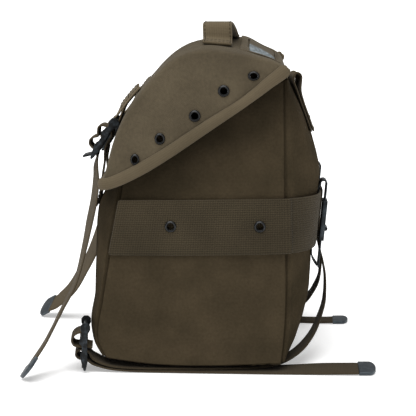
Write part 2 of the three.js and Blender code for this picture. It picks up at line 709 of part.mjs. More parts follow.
// Ladder buckle, one piece of metal: two rails, four bars and a tongue to lift
function bar(out, up, radius, length) {
  return new THREE.CylinderGeometry(radius, radius, length, 10).rotateZ(Math.PI / 2).translate(0, -out, up);
}
function buckle({ length, drop }) {
  const outline = new THREE.Shape(BUCKLE_RAIL_OUTLINE.map(({ out, up }) => new THREE.Vector2(-out, up)));
  const railX = (side) => side * BUCKLE_RAIL_X - BUCKLE_RAIL / 2;
  const pieces = [-1, 1].map((side) => sidePlate(outline, railX(side), BUCKLE_RAIL));
  for (const { out, up } of BUCKLE_BARS) pieces.push(bar(out, up, BUCKLE_BAR, 2 * BUCKLE_RAIL_X));
  const { width, thickness, out, up } = BUCKLE_TONGUE;
  const tongue = new THREE.BoxGeometry(width, length, thickness).translate(0, -length / 2, 0);
  tongue.rotateX(THREE.MathUtils.degToRad(drop));
  pieces.push(tongue.translate(0, -out, up));
  return join(pieces);
}

const frames = {};
for (const [name, sign] of [["right", 1], ["left", -1]]) {
  const flapFrame = new THREE.Matrix4().makeRotationX(FLAP_BUCKLE_TILT);
  const top = new THREE.Vector3(0, 0, BUCKLE_BARS[0].up).applyMatrix4(flapFrame);
  const { y, z } = FLAP_BUCKLE_TOP[name];
  flapFrame.setPosition(sign * FLAP_BUCKLE_X, y - top.y, z - top.z);
  const baseFrame = new THREE.Matrix4().makeRotationZ(sign * BASE_BUCKLE_YAW);
  baseFrame.setPosition(sign * BASE_BUCKLE.x, BASE_BUCKLE.y, BASE_BUCKLE.z);
  frames[name] = { flap: flapFrame, base: baseFrame };
}

function inFrame(rows, frame) {
  const across = new THREE.Vector3(1, 0, 0).transformDirection(frame);
  return rows.map(({ out, up }) => ({ point: new THREE.Vector3(0, -out, up).applyMatrix4(frame), across }));
}

function strapTip(route) {
  const half = STRAP_WIDTH / 2 + 0.4;
  const plate = new THREE.Shape();
  plate.moveTo(-half, 0.3);
  plate.lineTo(half, 0.3);
  plate.lineTo(half, TIP_LENGTH - 7);
  plate.absellipse(0, TIP_LENGTH - 7, half, 7, 0, Math.PI, false);
  const settings = { depth: TIP_THICKNESS, bevelEnabled: false, curveSegments: 8 };
  const tip = new THREE.ExtrudeGeometry(plate, settings);
  return tip.translate(0, 0, -TIP_THICKNESS / 2).applyMatrix4(routeEnd(route));
}

// Turn of webbing round a buckle's top bar, ending beside itself
const barTurn = (radius, from, to, count) => Array.from({ length: count }, (_, i) => {
  const angle = THREE.MathUtils.degToRad(THREE.MathUtils.lerp(from, to, i / (count - 1)));
  return { out: radius * Math.cos(angle), up: BUCKLE_BARS[0].up + radius * Math.sin(angle) };
});
const TURN_RADIUS = BUCKLE_BAR + STRAP / 2 + 0.4;

function boxOutline(path, { half, inner, outer }) {
  path.moveTo(-half, inner);
  path.lineTo(half, inner);
  path.lineTo(half, outer);
  path.lineTo(-half, outer);
  path.closePath();
  return path;
}

for (const [name, sign] of [["right", 1], ["left", -1]]) {
  const { flap, base } = frames[name];
  add(`flap_buckle_${name}`, buckle(FLAP_TONGUE).applyMatrix4(flap), darkSteel());
  add(`base_buckle_${name}`, buckle(BASE_TONGUE).applyMatrix4(base), darkSteel());

  const tabRoute = [];
  for (let i = 0; i < FLAP_TAB.rows; i += 1) {
    const share = i / (FLAP_TAB.rows - 1);
    const t = flapPlace("z", THREE.MathUtils.lerp(FLAP_TAB.top, FLAP_TAB.bottom[name], share));
    const x = sign * FLAP_BUCKLE_X;
    const point = flapPoint(x, t).addScaledVector(flapNormal(x, t), STRAP_REST + FLAP_TAB.over);
    tabRoute.push({ point, across: ACROSS_X });
  }
  tabRoute.push(...inFrame(barTurn(TURN_RADIUS, 172, 400, 7), flap));
  add(`flap_buckle_tab_${name}`, ribbon(tabRoute, WEB), webbing());

  const flapRoute = [];
  for (let i = 0; i < STRAP_ON_WALL.rows; i += 1) {
    const z = THREE.MathUtils.lerp(STRAP_ON_WALL.low, STRAP_ON_WALL.high, i / (STRAP_ON_WALL.rows - 1));
    const y = frontFace(FLAP_BUCKLE_X - 10, z) - STRAP_REST - STRAP_ON_WALL.over;
    flapRoute.push(routeRow(sign * FLAP_BUCKLE_X, y, z));
  }
  for (const { y, z } of STRAP_CLIMB) flapRoute.push(routeRow(sign * FLAP_BUCKLE_X, y, z));
  flapRoute.push(...inFrame(FLAP_WEAVE, flap));
  for (const { x, y, z, turn } of sign > 0 ? FLAP_STRAP_END_RIGHT : FLAP_STRAP_END_LEFT) {
    const angle = THREE.MathUtils.degToRad(turn);
    flapRoute.push(routeRow(x, y, z, new THREE.Vector3(Math.cos(angle), Math.sin(angle), 0)));
  }
  add(`flap_strap_${name}`, ribbon(flapRoute, WEB), webbing());
  add(`flap_strap_tip_${name}`, strapTip(flapRoute), greySteel());

  add(`base_buckle_tab_${name}`, ribbon(inFrame(BASE_TAB, base), WEB), webbing());

  const slack = BASE_STRAP_SLACK.map(({ x, y, z }) => routeRow(sign * x, y, z));
  const end = BASE_STRAP_ENDS[name];
  const endRow = { y: end.y, lift: (TIP_THICKNESS - STRAP) / 2, lean: 1 };
  const back = [...FLOOR_RUN, endRow].map(({ y, lift, lean }) => {
    const t = THREE.MathUtils.smoothstep(y, FLOOR_RUN[0].y, end.y);
    const drop = end.lean * lean;
    const x = THREE.MathUtils.lerp(sign * BASE_BUCKLE.x, end.x, t);
    const z = STRAP / 2 + lift + drop * STRAP_WIDTH / 2;
    return routeRow(x, y, z, new THREE.Vector3(1, 0, -drop));
  });
  const baseRoute = [...slack, ...inFrame(BASE_WEAVE, base), ...back];
  add(`base_strap_${name}`, ribbon(baseRoute, WEB), webbing());
  add(`base_strap_tip_${name}`, strapTip(baseRoute), greySteel());

  const shift = LOOP_SHIFT[name];
  const loop = HARNESS_LOOP.map(({ y, z }) => routeRow(sign * LOOP_X, y + shift.y, z + shift.z));
  add(`harness_loop_${name}`, ribbon(loop, WEB), webbing());

  // Belt clip: a bent steel strip round the band, with a sleeve that slides on its outer leg
  const clipFrame = new THREE.Matrix4().makeRotationX(CLIP_TILT);
  clipFrame.setPosition(sign * CLIP_X, CLIP_FOOT.y, CLIP_FOOT.z);
  const clipRow = (out, up) => {
    const point = new THREE.Vector3(0, out, up).applyMatrix4(clipFrame);
    return { point, across: ACROSS_X };
  };
  const clipRoute = CLIP_INNER_LEG.map(({ out, up }) => clipRow(out, up));
  for (let i = 1; i < CLIP_BEND.steps; i += 1) {
    const angle = Math.PI * (1 - i / CLIP_BEND.steps);
    clipRoute.push(clipRow(
      CLIP_BEND.out + CLIP_BEND.radius * Math.cos(angle), CLIP_BEND.up + CLIP_BEND.radius * Math.sin(angle)));
  }
  for (let i = 0; i < CLIP_OUTER_LEG.rows; i += 1) {
    const up = THREE.MathUtils.lerp(CLIP_OUTER_LEG.from, CLIP_OUTER_LEG.to, i / (CLIP_OUTER_LEG.rows - 1));
    clipRoute.push(clipRow(CLIP_OUTER_LEG.out, up));
  }
  const strip = { width: CLIP_WIDTH, thickness: CLIP_STEEL, perRow: 2 };
  add(`belt_clip_${name}`, ribbon(clipRoute, strip), darkSteel());

  const sleeve = boxOutline(new THREE.Shape(), SLIDE);
  sleeve.holes.push(boxOutline(new THREE.Path(), SLIDE_SLOT));
  const tube = new THREE.ExtrudeGeometry(sleeve, { depth: SLIDE.length, bevelEnabled: false });
  tube.translate(0, 0, SLIDE.low);
  const nub = new THREE.CylinderGeometry(SLIDE_NUB.radius, SLIDE_NUB.radius, SLIDE_NUB.length, 12);
  nub.rotateZ(Math.PI / 2).translate(0, SLIDE_NUB.out, SLIDE_NUB.up);
  add(`belt_clip_slide_${name}`, join([tube, nub]).applyMatrix4(clipFrame), darkSteel());
}

// The frame's origin is under the middle of the whole, on the floor
const box = new THREE.Box3().setFromObject(bag);
const middle = box.getCenter(new THREE.Vector3());
for (const mesh of bag.children) mesh.geometry.translate(-middle.x, -middle.y, -box.min.z);

export default bag;
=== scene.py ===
import math

import bpy
from mathutils import Matrix, Vector, noise


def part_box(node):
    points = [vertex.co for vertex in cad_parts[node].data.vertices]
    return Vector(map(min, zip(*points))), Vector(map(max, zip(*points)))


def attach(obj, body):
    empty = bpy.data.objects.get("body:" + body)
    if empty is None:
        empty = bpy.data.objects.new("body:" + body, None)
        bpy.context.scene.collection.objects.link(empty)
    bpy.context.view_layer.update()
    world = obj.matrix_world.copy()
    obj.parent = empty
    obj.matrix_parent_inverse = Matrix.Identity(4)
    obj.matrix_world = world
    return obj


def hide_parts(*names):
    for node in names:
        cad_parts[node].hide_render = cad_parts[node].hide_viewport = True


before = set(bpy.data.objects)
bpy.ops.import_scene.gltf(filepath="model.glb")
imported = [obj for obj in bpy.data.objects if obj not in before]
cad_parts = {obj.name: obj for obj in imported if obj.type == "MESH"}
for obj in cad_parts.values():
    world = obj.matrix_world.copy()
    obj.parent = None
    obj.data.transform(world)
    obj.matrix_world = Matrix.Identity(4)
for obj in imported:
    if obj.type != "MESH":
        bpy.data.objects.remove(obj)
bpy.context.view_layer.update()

mm = 0.001
sides = {"right": 1, "left": -1}    # right is the side that the camera looks at

# Tables are in millimetres round the bag's own middle, which is found from two CAD nodes
eyeletLow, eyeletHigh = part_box("wing_eyelet_right_1")
baseLow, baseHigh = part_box("base_panel")
firstEyelet = Vector((0, 42.5, 241.8)) * mm
bagMiddle = (Vector(eyeletLow) + Vector(eyeletHigh)) / 2 - firstEyelet
bagMiddle.x = (baseLow[0] + baseHigh[0]) / 2


def place(x, y, z):
    return bagMiddle + Vector((x, y, z)) * mm


def lerp(a, b, t):
    return a + (b - a) * t


def clamp(value, low=0.0, high=1.0):
    return min(max(value, low), high)


def table(columns, *rows):    # a dictionary for each row, under the columns' names
    return [dict(zip(columns.split(), row)) for row in rows]


def rowPoint(row):
    return Vector((row.get("x", 0), row["y"], row["z"]))


def halve(low, high, holds):    # the last place where a test holds
    for _ in range(40):
        middle = (low + high) / 2
        if holds(middle):
            low = middle
        else:
            high = middle
    return low


def curveShares(t):    # what a smooth curve takes from its two ends and from the slopes there
    near = 2 * t ** 3 - 3 * t ** 2 + 1
    return near, 1 - near, t ** 3 - 2 * t ** 2 + t, t ** 3 - t ** 2


def readRows(rows, along, at, column):    # smooth reading of one column of a table
    last = len(rows) - 1
    i = 0
    while i < last - 1 and at > rows[i + 1][along]:
        i += 1

    def slope(k):
        before, after = rows[max(k - 1, 0)], rows[min(k + 1, last)]
        return (after[column] - before[column]) / (after[along] - before[along])

    step = rows[i + 1][along] - rows[i][along]
    near, far, leave, arrive = curveShares(clamp((at - rows[i][along]) / step))
    bend = leave * slope(i) + arrive * slope(i + 1)
    return near * rows[i][column] + far * rows[i + 1][column] + bend * step


def pathPoint(points, t):    # a smooth route through all its points
    last = len(points) - 1
    along = clamp(t) * last
    k = min(int(along), last - 1)
    p1, p2 = points[k], points[k + 1]
    p0 = points[k - 1] if k > 0 else p1 * 2 - p2
    p3 = points[k + 2] if k + 2 <= last else p2 * 2 - p1
    d0, d1, d2 = [max((b - a).length, 1e-6) ** 0.5 for a, b in ((p0, p1), (p1, p2), (p2, p3))]
    m1 = ((p1 - p0) / d0 - (p2 - p0) / (d0 + d1) + (p2 - p1) / d1) * d1
    m2 = ((p2 - p1) / d1 - (p3 - p1) / (d1 + d2) + (p3 - p2) / d2) * d1
    near, far, leave, arrive = curveShares(along - k)
    return p1 * near + p2 * far + m1 * leave + m2 * arrive


def pathTangent(points, t):
    return (pathPoint(points, t + 1e-4) - pathPoint(points, t - 1e-4)).normalized()


# Materials

def hexToLinear(code):
    parts = [int(code[i:i + 2], 16) / 255 for i in (1, 3, 5)]
    return [v / 12.92 if v <= 0.04045 else ((v + 0.055) / 1.055) ** 2.4 for v in parts] + [1.0]


def addNode(material, kind, settings, inputs):
    node = material.node_tree.nodes.new(kind)
    for key, value in settings.items():
        setattr(node, key, value)
    for key, value in inputs.items():
        if isinstance(value, bpy.types.NodeSocket):
            material.node_tree.links.new(value, node.inputs[key])
        else:
            node.inputs[key].default_value = value
    return node


def newMaterial(name, settings):
    material = bpy.data.materials.new(name)
    material.use_nodes = True
    material.node_tree.nodes.clear()
    shader = addNode(material, "ShaderNodeBsdfPrincipled", {}, settings)
    addNode(material, "ShaderNodeOutputMaterial", {}, {"Surface": shader.outputs["BSDF"]})
    return material, shader


def objectPlace(material):
    return addNode(material, "ShaderNodeTexCoord", {}, {}).outputs["Object"]


def flatPlace(material):    # the place on the flat cloth
    return addNode(material, "ShaderNodeUVMap", {}, {}).outputs["UV"]


def firstAxis(material, vector):
    return addNode(material, "ShaderNodeSeparateXYZ", {}, {"Vector": vector}).outputs["X"]


def noiseIn(material, where, size, detail):    # size is the grain in millimetres
    return addNode(material, "ShaderNodeTexNoise", {}, {
        "Vector": where, "Scale": 1 / (size * mm), "Detail": detail}).outputs["Fac"]


def wavesIn(material, where, way, pitch, wobble):    # pitch is in millimetres
    return addNode(material, "ShaderNodeTexWave", {"bands_direction": way}, {
        "Vector": where, "Scale": math.pi / (10 * pitch * mm), "Distortion": wobble,
        "Detail": 1.0, "Detail Scale": 1.4}).outputs["Fac"]


def remap(material, value, fromMin=0.0, fromMax=1.0, toMin=0.0, toMax=1.0, kind="LINEAR"):
    return addNode(material, "ShaderNodeMapRange", {"interpolation_type": kind}, {
        "Value": value, "From Min": fromMin, "From Max": fromMax,
        "To Min": toMin, "To Max": toMax}).outputs["Result"]


def calculate(material, operation, *values):
    return addNode(material, "ShaderNodeMath", {"operation": operation}, dict(enumerate(values))).outputs[0]


def mixColours(material, share, *colours):    # hex codes or other nodes' colours
    dark, light = [hexToLinear(c) if isinstance(c, str) else c for c in colours]
    return addNode(material, "ShaderNodeMix", {"data_type": "RGBA"}, {0: share, 6: dark, 7: light}).outputs[2]


def bumpFrom(material, height, strength, relief):    # relief is in millimetres
    return addNode(material, "ShaderNodeBump", {}, {
        "Strength": strength, "Distance": relief * mm, "Height": height}).outputs["Normal"]


def connect(material, shader, sources):
    for key, socket in sources.items():
        material.node_tree.links.new(socket, shader.inputs[key])
    return material


plainCloth = {"roughness": 0.95, "sheen": 0.04, "gloss": 0.06}


def makeCloth(name, finish):
    # Cotton yarn is matt and hairy, so it has sheen and hardly any gloss; the weave is drawn from its
    # thread spacing, and dye takes unevenly in broad patches and in single slubs
    finish = {**plainCloth, **finish}
    material, shader = newMaterial(name, {
        "Roughness": finish["roughness"], "Sheen Weight": finish["sheen"],
        "Sheen Roughness": 0.6, "Specular IOR Level": finish["gloss"]})
    flat, where = flatPlace(material), objectPlace(material)
    warp = wavesIn(material, flat, "X", finish["warp"], finish["wobble"])
    weft = wavesIn(material, flat, "Y", finish["weft"], finish["wobble"])
    ribs = addNode(material, "ShaderNodeMix", {"data_type": "FLOAT"}, {
        0: finish["weftShare"], 2: warp, 3: weft}).outputs[0]
    slub = noiseIn(material, where, finish["slub"], 3.0)
    dye = remap(material, noiseIn(material, where, finish["patch"], 2.0), 0.3, 0.7)
    cloth = mixColours(material, dye, finish["dark"], finish["light"])
    depth = calculate(material, "MULTIPLY_ADD", ribs, finish["ribShade"], 1 - finish["ribShade"])
    fleck = calculate(material, "MULTIPLY_ADD", slub, finish["fleck"], 1 - finish["fleck"] / 2)
    shade = calculate(material, "MULTIPLY", depth, fleck)
    if "underFlapShade" in finish:    # painted shade: the strip below the flap's overhanging edge is darkened, fading out over its reach
        edge = finish["underFlapShade"]
        above = addNode(material, "ShaderNodeVectorMath", {"operation": "DOT_PRODUCT"}, {
            0: where, 1: edge["up"]}).outputs["Value"]
        edgeShade = remap(material, above, edge["level"] - edge["reach"] * mm, edge["level"],
                      1.0, edge["deep"], "SMOOTHSTEP")
        shade = calculate(material, "MULTIPLY", shade, edgeShade)
    shaded = addNode(material, "ShaderNodeVectorMath", {"operation": "SCALE"}, {
        0: cloth, "Scale": shade}).outputs[0]
    height = calculate(material, "MULTIPLY_ADD", slub, 0.5, ribs)
    return connect(material, shader, {
        "Base Color": shaded, "Normal": bumpFrom(material, height, finish["bump"], finish["relief"])})


plainSteel = {"metallic": 0.75, "rub": 4, "grit": 0.6, "smooth": 0.34, "rough": 0.55}


def makeMetal(name, finish):
    # Struck steel under a thin dark finish: satin highlights, with a greyer rub where it has worn
    finish = {**plainSteel, **finish}
    material, shader = newMaterial(name, {"Metallic": finish["metallic"]})
    where = objectPlace(material)
    wearAndHighlight = remap(material, noiseIn(material, where, finish["rub"], 4.0), 0.48, 0.72)
    grit = noiseIn(material, where, finish["grit"], 2.0)
    return connect(material, shader, {
        "Base Color": mixColours(material, wearAndHighlight, finish["dark"], finish["light"]),
        "Roughness": remap(material, grit, toMin=finish["smooth"], toMax=finish["rough"]),
        "Normal": bumpFrom(material, grit, 0.25, 0.1)})


# Duck: 0.6 mm threads in the real cloth, drawn at 1 mm so that they show
duck = {"warp": 1.0, "weft": 1.1, "weftShare": 0.5, "wobble": 1.6, "slub": 2.2, "patch": 34,
        "ribShade": 0.14, "fleck": 0.5, "bump": 0.7, "relief": 0.35}
# Painted light: the flap's copy of the duck is paler than the body's, for the stronger light the flap catches
flapDuckLit = makeCloth("cotton_duck_painted_light", {**duck, "dark": "#494133", "light": "#564d3d"})
# Painted shade: the same duck on the body is given a deeper brown for the shade on the walls below the flap,
# darkest as a painted shadow in a strip below the flap's edge
edgeRise = Vector((0, -0.535, 0.845))    # square to the wing's lower edge
bodyDuckShaded = makeCloth("cotton_duck_painted_shade", {
    **duck, "dark": "#362f23", "light": "#433a2c", "sheen": 0, "gloss": 0.01,
    "underFlapShade": {"up": edgeRise, "level": place(0, 69, 238).dot(edgeRise), "reach": 58, "deep": 0.52}})
# Binding tape: a smooth herringbone tape, a little paler than the cloth it covers
bindingTape = makeCloth("cotton_binding_tape", {
    "dark": "#514838", "light": "#5a503f", "warp": 1.3, "weft": 0.9, "weftShare": 0.4, "wobble": 0.8,
    "slub": 1.4, "patch": 30, "ribShade": 0.16, "fleck": 0.18, "bump": 0.5, "relief": 0.25,
    "roughness": 0.92})
# Band: heavy belt webbing, ribs along its length crossed by weft, about 1.8 mm apart
bandWebbing = makeCloth("cotton_band_webbing", {
    "dark": "#383124", "light": "#433b2c", "warp": 1.9, "weft": 1.8, "weftShare": 0.6, "wobble": 0.7,
    "slub": 1.5, "patch": 40, "ribShade": 0.5, "fleck": 0.2, "bump": 0.9, "relief": 0.6})
# Straps: flat webbing, finer ribs along its length; darker as painted shade where it lies under the bag, and
# paler as painted light on the handle and the flap's tabs, which stand in the light
webbing = {"warp": 1.9, "weft": 1.3, "weftShare": 0.45, "wobble": 0.6, "slub": 1.4, "patch": 35,
           "ribShade": 0.34, "fleck": 0.2, "bump": 0.8, "relief": 0.45}
strapWebbing = makeCloth("cotton_strap_webbing", {**webbing, "dark": "#473e2f", "light": "#524837"})
shadedBaseWebbing = makeCloth("cotton_webbing_painted_shade", {**webbing, "dark": "#3b3326", "light": "#453c2d"})
litWebbing = makeCloth("cotton_webbing_painted_light", {
    **webbing, "dark": "#564c3b", "light": "#625744", "ribShade": 0.16, "bump": 0.45, "relief": 0.3})
# Sewing thread: twisted cotton, made darker than its own colour as painted shade, for the shadow along the
# stitched edge of the tape
shadedSewingThread = makeCloth("cotton_thread_painted_shade", {
    "dark": "#262018", "light": "#30291f", "warp": 0.6, "weft": 0.6, "weftShare": 0.5, "wobble": 0.3,
    "slub": 0.8, "patch": 15, "ribShade": 0.2, "fleck": 0.2, "bump": 0.2, "relief": 0.1,
    "roughness": 0.9})
# Buckles: pressed steel, chemically blackened
blackenedSteel = makeMetal("steel_blackened", {"dark": "#121415", "light": "#343a3f", "metallic": 0.7})
# Belt clips: bent strip of the same steel, more worn
clipSteel = makeMetal("steel_strip_blackened", {"dark": "#1a1d1f", "light": "#383e43", "rub": 9})
# Strap tips: bare pressed steel gone dull and bluish
dullSteel = makeMetal("steel_dull_grey", {
    "dark": "#3c4246", "light": "#50585d", "grit": 0.5, "smooth": 0.42, "rough": 0.62})


def makeEnamel():
    # Brass rings under stoved black enamel, black in the throat; the rolled rim is given a bluish grey in
    # patches as a painted highlight; the ring's own UV holds the distance from the middle of its hole
    material, shader = newMaterial("black_enamel_stoved", {"Roughness": 0.3, "Metallic": 0.35})
    rim = remap(material, firstAxis(material, flatPlace(material)), 3.9 * mm, 4.35 * mm)
    patchy = remap(material, noiseIn(material, objectPlace(material), 3, 3.0), 0.35, 0.65, 0.3)
    wearAndHighlight = calculate(material, "MULTIPLY", rim, patchy)
    return connect(material, shader, {"Base Color": mixColours(material, wearAndHighlight, "#0b0c0d", "#b4c1cc")})


def makeClearVinyl():
    # Plasticised vinyl film, cast: clear over the cloth on its far half; its near half is painted grey as a
    # painted reflection, with pale streaks along its length that also give it creases
    material, shader = newMaterial("vinyl_film_clear", {
        "Roughness": 0.6, "IOR": 1.4, "Specular IOR Level": 0.12})
    where = objectPlace(material)
    drawn = addNode(material, "ShaderNodeMapping", {}, {
        "Vector": where, "Scale": (1, 8, 8)}).outputs["Vector"]
    streaks = noiseIn(material, drawn, 24, 2.0)
    greyReflection = mixColours(material, remap(material, streaks, 0.4, 0.65), "#545b5e", "#7d8589")
    nearHalf = remap(material, firstAxis(material, where), bagMiddle.x - 30 * mm, bagMiddle.x,
                   kind="SMOOTHSTEP")
    return connect(material, shader, {
        "Base Color": mixColours(material, nearHalf, "#4a4234", greyReflection),
        "Normal": bumpFrom(material, streaks, 0.3, 0.6)})


blackEnamel = makeEnamel()
clearVinyl = makeClearVinyl()
print("materials made")


# Modelling helpers

def selectOnly(piece):
    bpy.ops.object.select_all(action="DESELECT")
    piece.select_set(True)
    bpy.context.view_layer.objects.active = piece


def rename(piece, name):
    piece.name = name
    piece.data.name = name
    return piece


def newPrimitive(add, **settings):
    bpy.ops.object.select_all(action="DESELECT")
    add(**settings)
    return bpy.context.object


def newSolid(add, **settings):    # with its place and size in the mesh
    piece = newPrimitive(add, **settings)
    bpy.ops.object.transform_apply(location=True, rotation=True, scale=True)
    return piece


def newRod(radius, length, location, sides=20):    # lies along X
    return newSolid(bpy.ops.mesh.primitive_cylinder_add, vertices=sides, radius=radius * mm,
                    depth=length * mm, location=Vector(location) * mm, rotation=(0, math.pi / 2, 0))


def applyModifier(piece, kind, **settings):
    selectOnly(piece)
    modifier = piece.modifiers.new(kind.title(), kind)
    for key, value in settings.items():
        setattr(modifier, key, value)
    bpy.ops.object.modifier_apply(modifier=modifier.name)


def smoothOut(piece):
    applyModifier(piece, "SUBSURF", levels=1, render_levels=1)


def thicken(piece, thickness, offset, even=True):
    applyModifier(piece, "SOLIDIFY", thickness=thickness * mm, offset=offset, use_even_offset=even)


def roundEdges(piece, width, segments=2, angle=35):
    applyModifier(piece, "BEVEL", width=width * mm, segments=segments, limit_method="ANGLE",
                  angle_limit=math.radians(angle))


def joinPieces(pieces, name):
    selectOnly(pieces[0])
    for piece in pieces[1:]:
        piece.select_set(True)
    bpy.ops.object.join()
    return rename(bpy.context.object, name)


def editWhole(piece, *steps):    # each step is run on the whole mesh
    selectOnly(piece)
    bpy.ops.object.mode_set(mode="EDIT")
    for step in steps:
        bpy.ops.mesh.select_all(action="SELECT")
        step()
    bpy.ops.object.mode_set(mode="OBJECT")


def faceOutward():
    bpy.ops.mesh.normals_make_consistent(inside=False)


def mergeDoubles(piece, distance):
    editWhole(piece, lambda: bpy.ops.mesh.remove_doubles(threshold=distance * mm), faceOutward)


def deleteFaces(piece, goes):    # goes says of each face whether it is cut away
    selectOnly(piece)
    bpy.ops.object.mode_set(mode="EDIT")
    bpy.ops.mesh.select_mode(type="FACE")
    bpy.ops.mesh.select_all(action="DESELECT")
    bpy.ops.object.mode_set(mode="OBJECT")
    for face in piece.data.polygons:
        face.select = goes(face)
    bpy.ops.object.mode_set(mode="EDIT")
    bpy.ops.mesh.delete(type="FACE")
    bpy.ops.object.mode_set(mode="OBJECT")


def moveMesh(piece, matrix):
    piece.data.transform(matrix)
    piece.data.update()


def copyPiece(piece, name):
    twin = piece.copy()
    twin.data = piece.data.copy()
    bpy.context.collection.objects.link(twin)
    return rename(twin, name)


def finishPiece(piece, material, nodes, body="bag", angle=40):
    piece.data.materials.clear()
    piece.data.materials.append(material)
    selectOnly(piece)
    bpy.ops.object.shade_smooth_by_angle(angle=math.radians(angle), keep_sharp_edges=False)
    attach(piece, body)
    if nodes:
        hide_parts(*nodes)


def newGrid(name, columns, rows, shape):    # shape gives a point and its place on the flat cloth
    piece = rename(newPrimitive(
        bpy.ops.mesh.primitive_grid_add, x_subdivisions=columns, y_subdivisions=rows, size=1), name)
    spots = []
    for vertex in piece.data.vertices:
        point, spot = shape(vertex.co.x + 0.5, vertex.co.y + 0.5)
        vertex.co = place(*point)
        spots.append((spot[0] * mm, spot[1] * mm))
    layer = piece.data.uv_layers.active.data
    for loop in piece.data.loops:
        layer[loop.index].uv = spots[loop.vertex_index]
    return piece


def routeFrames(route, perRow):    # route rows are a point and the direction of the width
    points = [row[0] for row in route]
    count = (len(route) - 1) * perRow
    frames = []
    length = 0
    for i in range(count + 1):
        t = i / count
        along = t * (len(route) - 1)
        k = min(int(along), len(route) - 2)
        across = route[k][1].lerp(route[k + 1][1], along - k)
        tangent = pathTangent(points, t)
        across = (across - tangent * across.dot(tangent)).normalized()
        point = pathPoint(points, t)
        if frames:
            length += (point - frames[-1]["point"]).length
        frames.append({"point": point, "along": tangent, "across": across,
                       "out": tangent.cross(across), "length": length})
    return frames


def newRibbon(name, frames, width, thickness, columns, dome=0, rounded=True):    # dome bows it outward
    count = len(frames) - 1

    def shape(u, v):
        spot = frames[round(v * count)]
        point = spot["point"] + spot["across"] * (u - 0.5) * width * spot.get("wide", 1)
        point += spot["out"] * dome * (1 - (2 * u - 1) ** 2)
        return point, (u * width, spot["length"])

    piece = newGrid(name, columns, count, shape)
    thicken(piece, thickness, 0)
    if rounded:
        smoothOut(piece)
    return piece


acrossX = Vector((1, 0, 0))
stitch = {"pitch": 3.0, "size": (1.25, 0.42, 0.32), "sides": 6, "rings": 4, "lift": 1.05, "boxSide": 9,
          "boxWide": 18, "boxLow": 2, "boxHigh": 22, "tabLines": (2, 12, 22), "strapLines": (2, 22)}
stitchSpots = []


def sewAlong(frames, side, lift, start, end, pitch=stitch["pitch"]):
    # stitches in a line on a ribbon: side is across it and lift is out of it
    at = start + pitch / 2
    i = 0
    while at < end:
        while i < len(frames) - 2 and frames[i + 1]["length"] < at:
            i += 1
        a, b = frames[i], frames[i + 1]
        t = clamp((at - a["length"]) / max(b["length"] - a["length"], 1e-6))
        along, across, out = [a[key].lerp(b[key], t) for key in ("along", "across", "out")]
        point = a["point"].lerp(b["point"], t) + across * side + out * lift
        stitchSpots.append((point, along, out))
        at += pitch


def sewAcross(frames, at, lift, width):    # one line of stitches over a ribbon's width
    spot = min(frames, key=lambda row: abs(row["length"] - at))
    count = max(int(width / stitch["pitch"]), 1)
    for i in range(count):
        side = ((i + 0.5) / count - 0.5) * width
        point = spot["point"] + spot["across"] * side + spot["out"] * lift
        stitchSpots.append((point, spot["across"], spot["out"]))


def sewBox(frames, lift, lines):    # two lines along a strap's end and some across it
    for side in (-stitch["boxSide"], stitch["boxSide"]):
        sewAlong(frames, side, lift, stitch["boxLow"], stitch["boxHigh"])
    for at in lines:
        sewAcross(frames, at, lift, stitch["boxWide"])


# Bag body: five canvas panels sewn into one shell that sags

bagBody = {
    "halfWidth": 120, "canvas": 2.0, "columns": 64, "rows": 76, "weld": 0.6, "sag": 1.4, "baseDepth": 140,
    "sagSquareness": 4, "fineSeed": 9, "sideSeed": 7.5,
    "pinch": 4.2, "pinchReach": 1.5, "hemReach": 60, "dentReach": 5, "sideRoundness": 0.7,
    "broad": {"depth": 2.4, "size": (58, 70)}, "fine": {"depth": 0.8, "size": (19, 24)},
    "pucker": {"depth": 0.9, "size": 7, "reach": 9, "seed": 3.3},
    "calm": 8,    # how near a seam the folds die out
    "sections": table(    # where the corner seams stand and how far each wall swells past them
        "z front back frontSwell backSwell sideSwell",
        (8, -76.3, 68, 4, 2, 0),
        (28, -85.4, 70, 7, 10.5, 2.5),
        (61, -81, 71.5, 8.4, 18, 4.5),
        (97, -74.8, 71, 14, 19.5, 5),
        (134, -67.8, 70.2, 18, 23.7, 4.4),
        (146, -65.6, 70, 14, 24.9, 3),
        (163, -63.4, 69.7, 10.6, 26.5, 0.5),
        (191, -61.6, 69.3, 5.4, 20.6, -2.5),
        (216, -60.8, 69, 3.7, 12.4, -3),
        (240, -61, 68.5, 2, 1.5, -2)),
    "lowerEdge": table(    # a side wall's lower edge from the front seam to the back seam
        "u z", (0, 13.5), (0.25, 8.4), (0.55, 7), (1, 9.5)),
    "dents": table(    # soft creases in the side walls
        "y z wide tall depth",
        (-39, 158, 4.5, 15, 1.5),
        (52, 165, 16, 22, 1.4),
        (10, 60, 30, 20, 1.4),
        (60, 62, 8, 26, 1.6),
        (-55, 40, 9, 24, 1.0)),
    "walls": {    # out is a wall's outward way along Y, and u its seams' place on the side walls
        "front": {"out": -1, "u": 0, "rim": 182, "squareness": 6, "seed": 1.5, "dents": []},
        "back": {"out": 1, "u": 1, "rim": 238, "squareness": 8, "seed": 4.5,
                 "dents": table(    # where the slack strap pulls at the panel's edges
                     "x z wide tall depth", (112, 60, 5, 20, 3.0), (113, 175, 5, 40, 1.2))}}}


def section(z, column):
    return readRows(bagBody["sections"], "z", z, column)


def wallSwell(wall, x, z):
    squareness = bagBody["walls"][wall]["squareness"]
    return section(z, wall + "Swell") * (1 - abs(x / bagBody["halfWidth"]) ** squareness)


def wallFace(wall, x, z):
    return section(z, wall) + bagBody["walls"][wall]["out"] * wallSwell(wall, x, z)


def sideFace(u, z):
    arch = max(math.sin(math.pi * u), 0) ** bagBody["sideRoundness"]
    return bagBody["halfWidth"] + section(z, "sideSwell") * arch


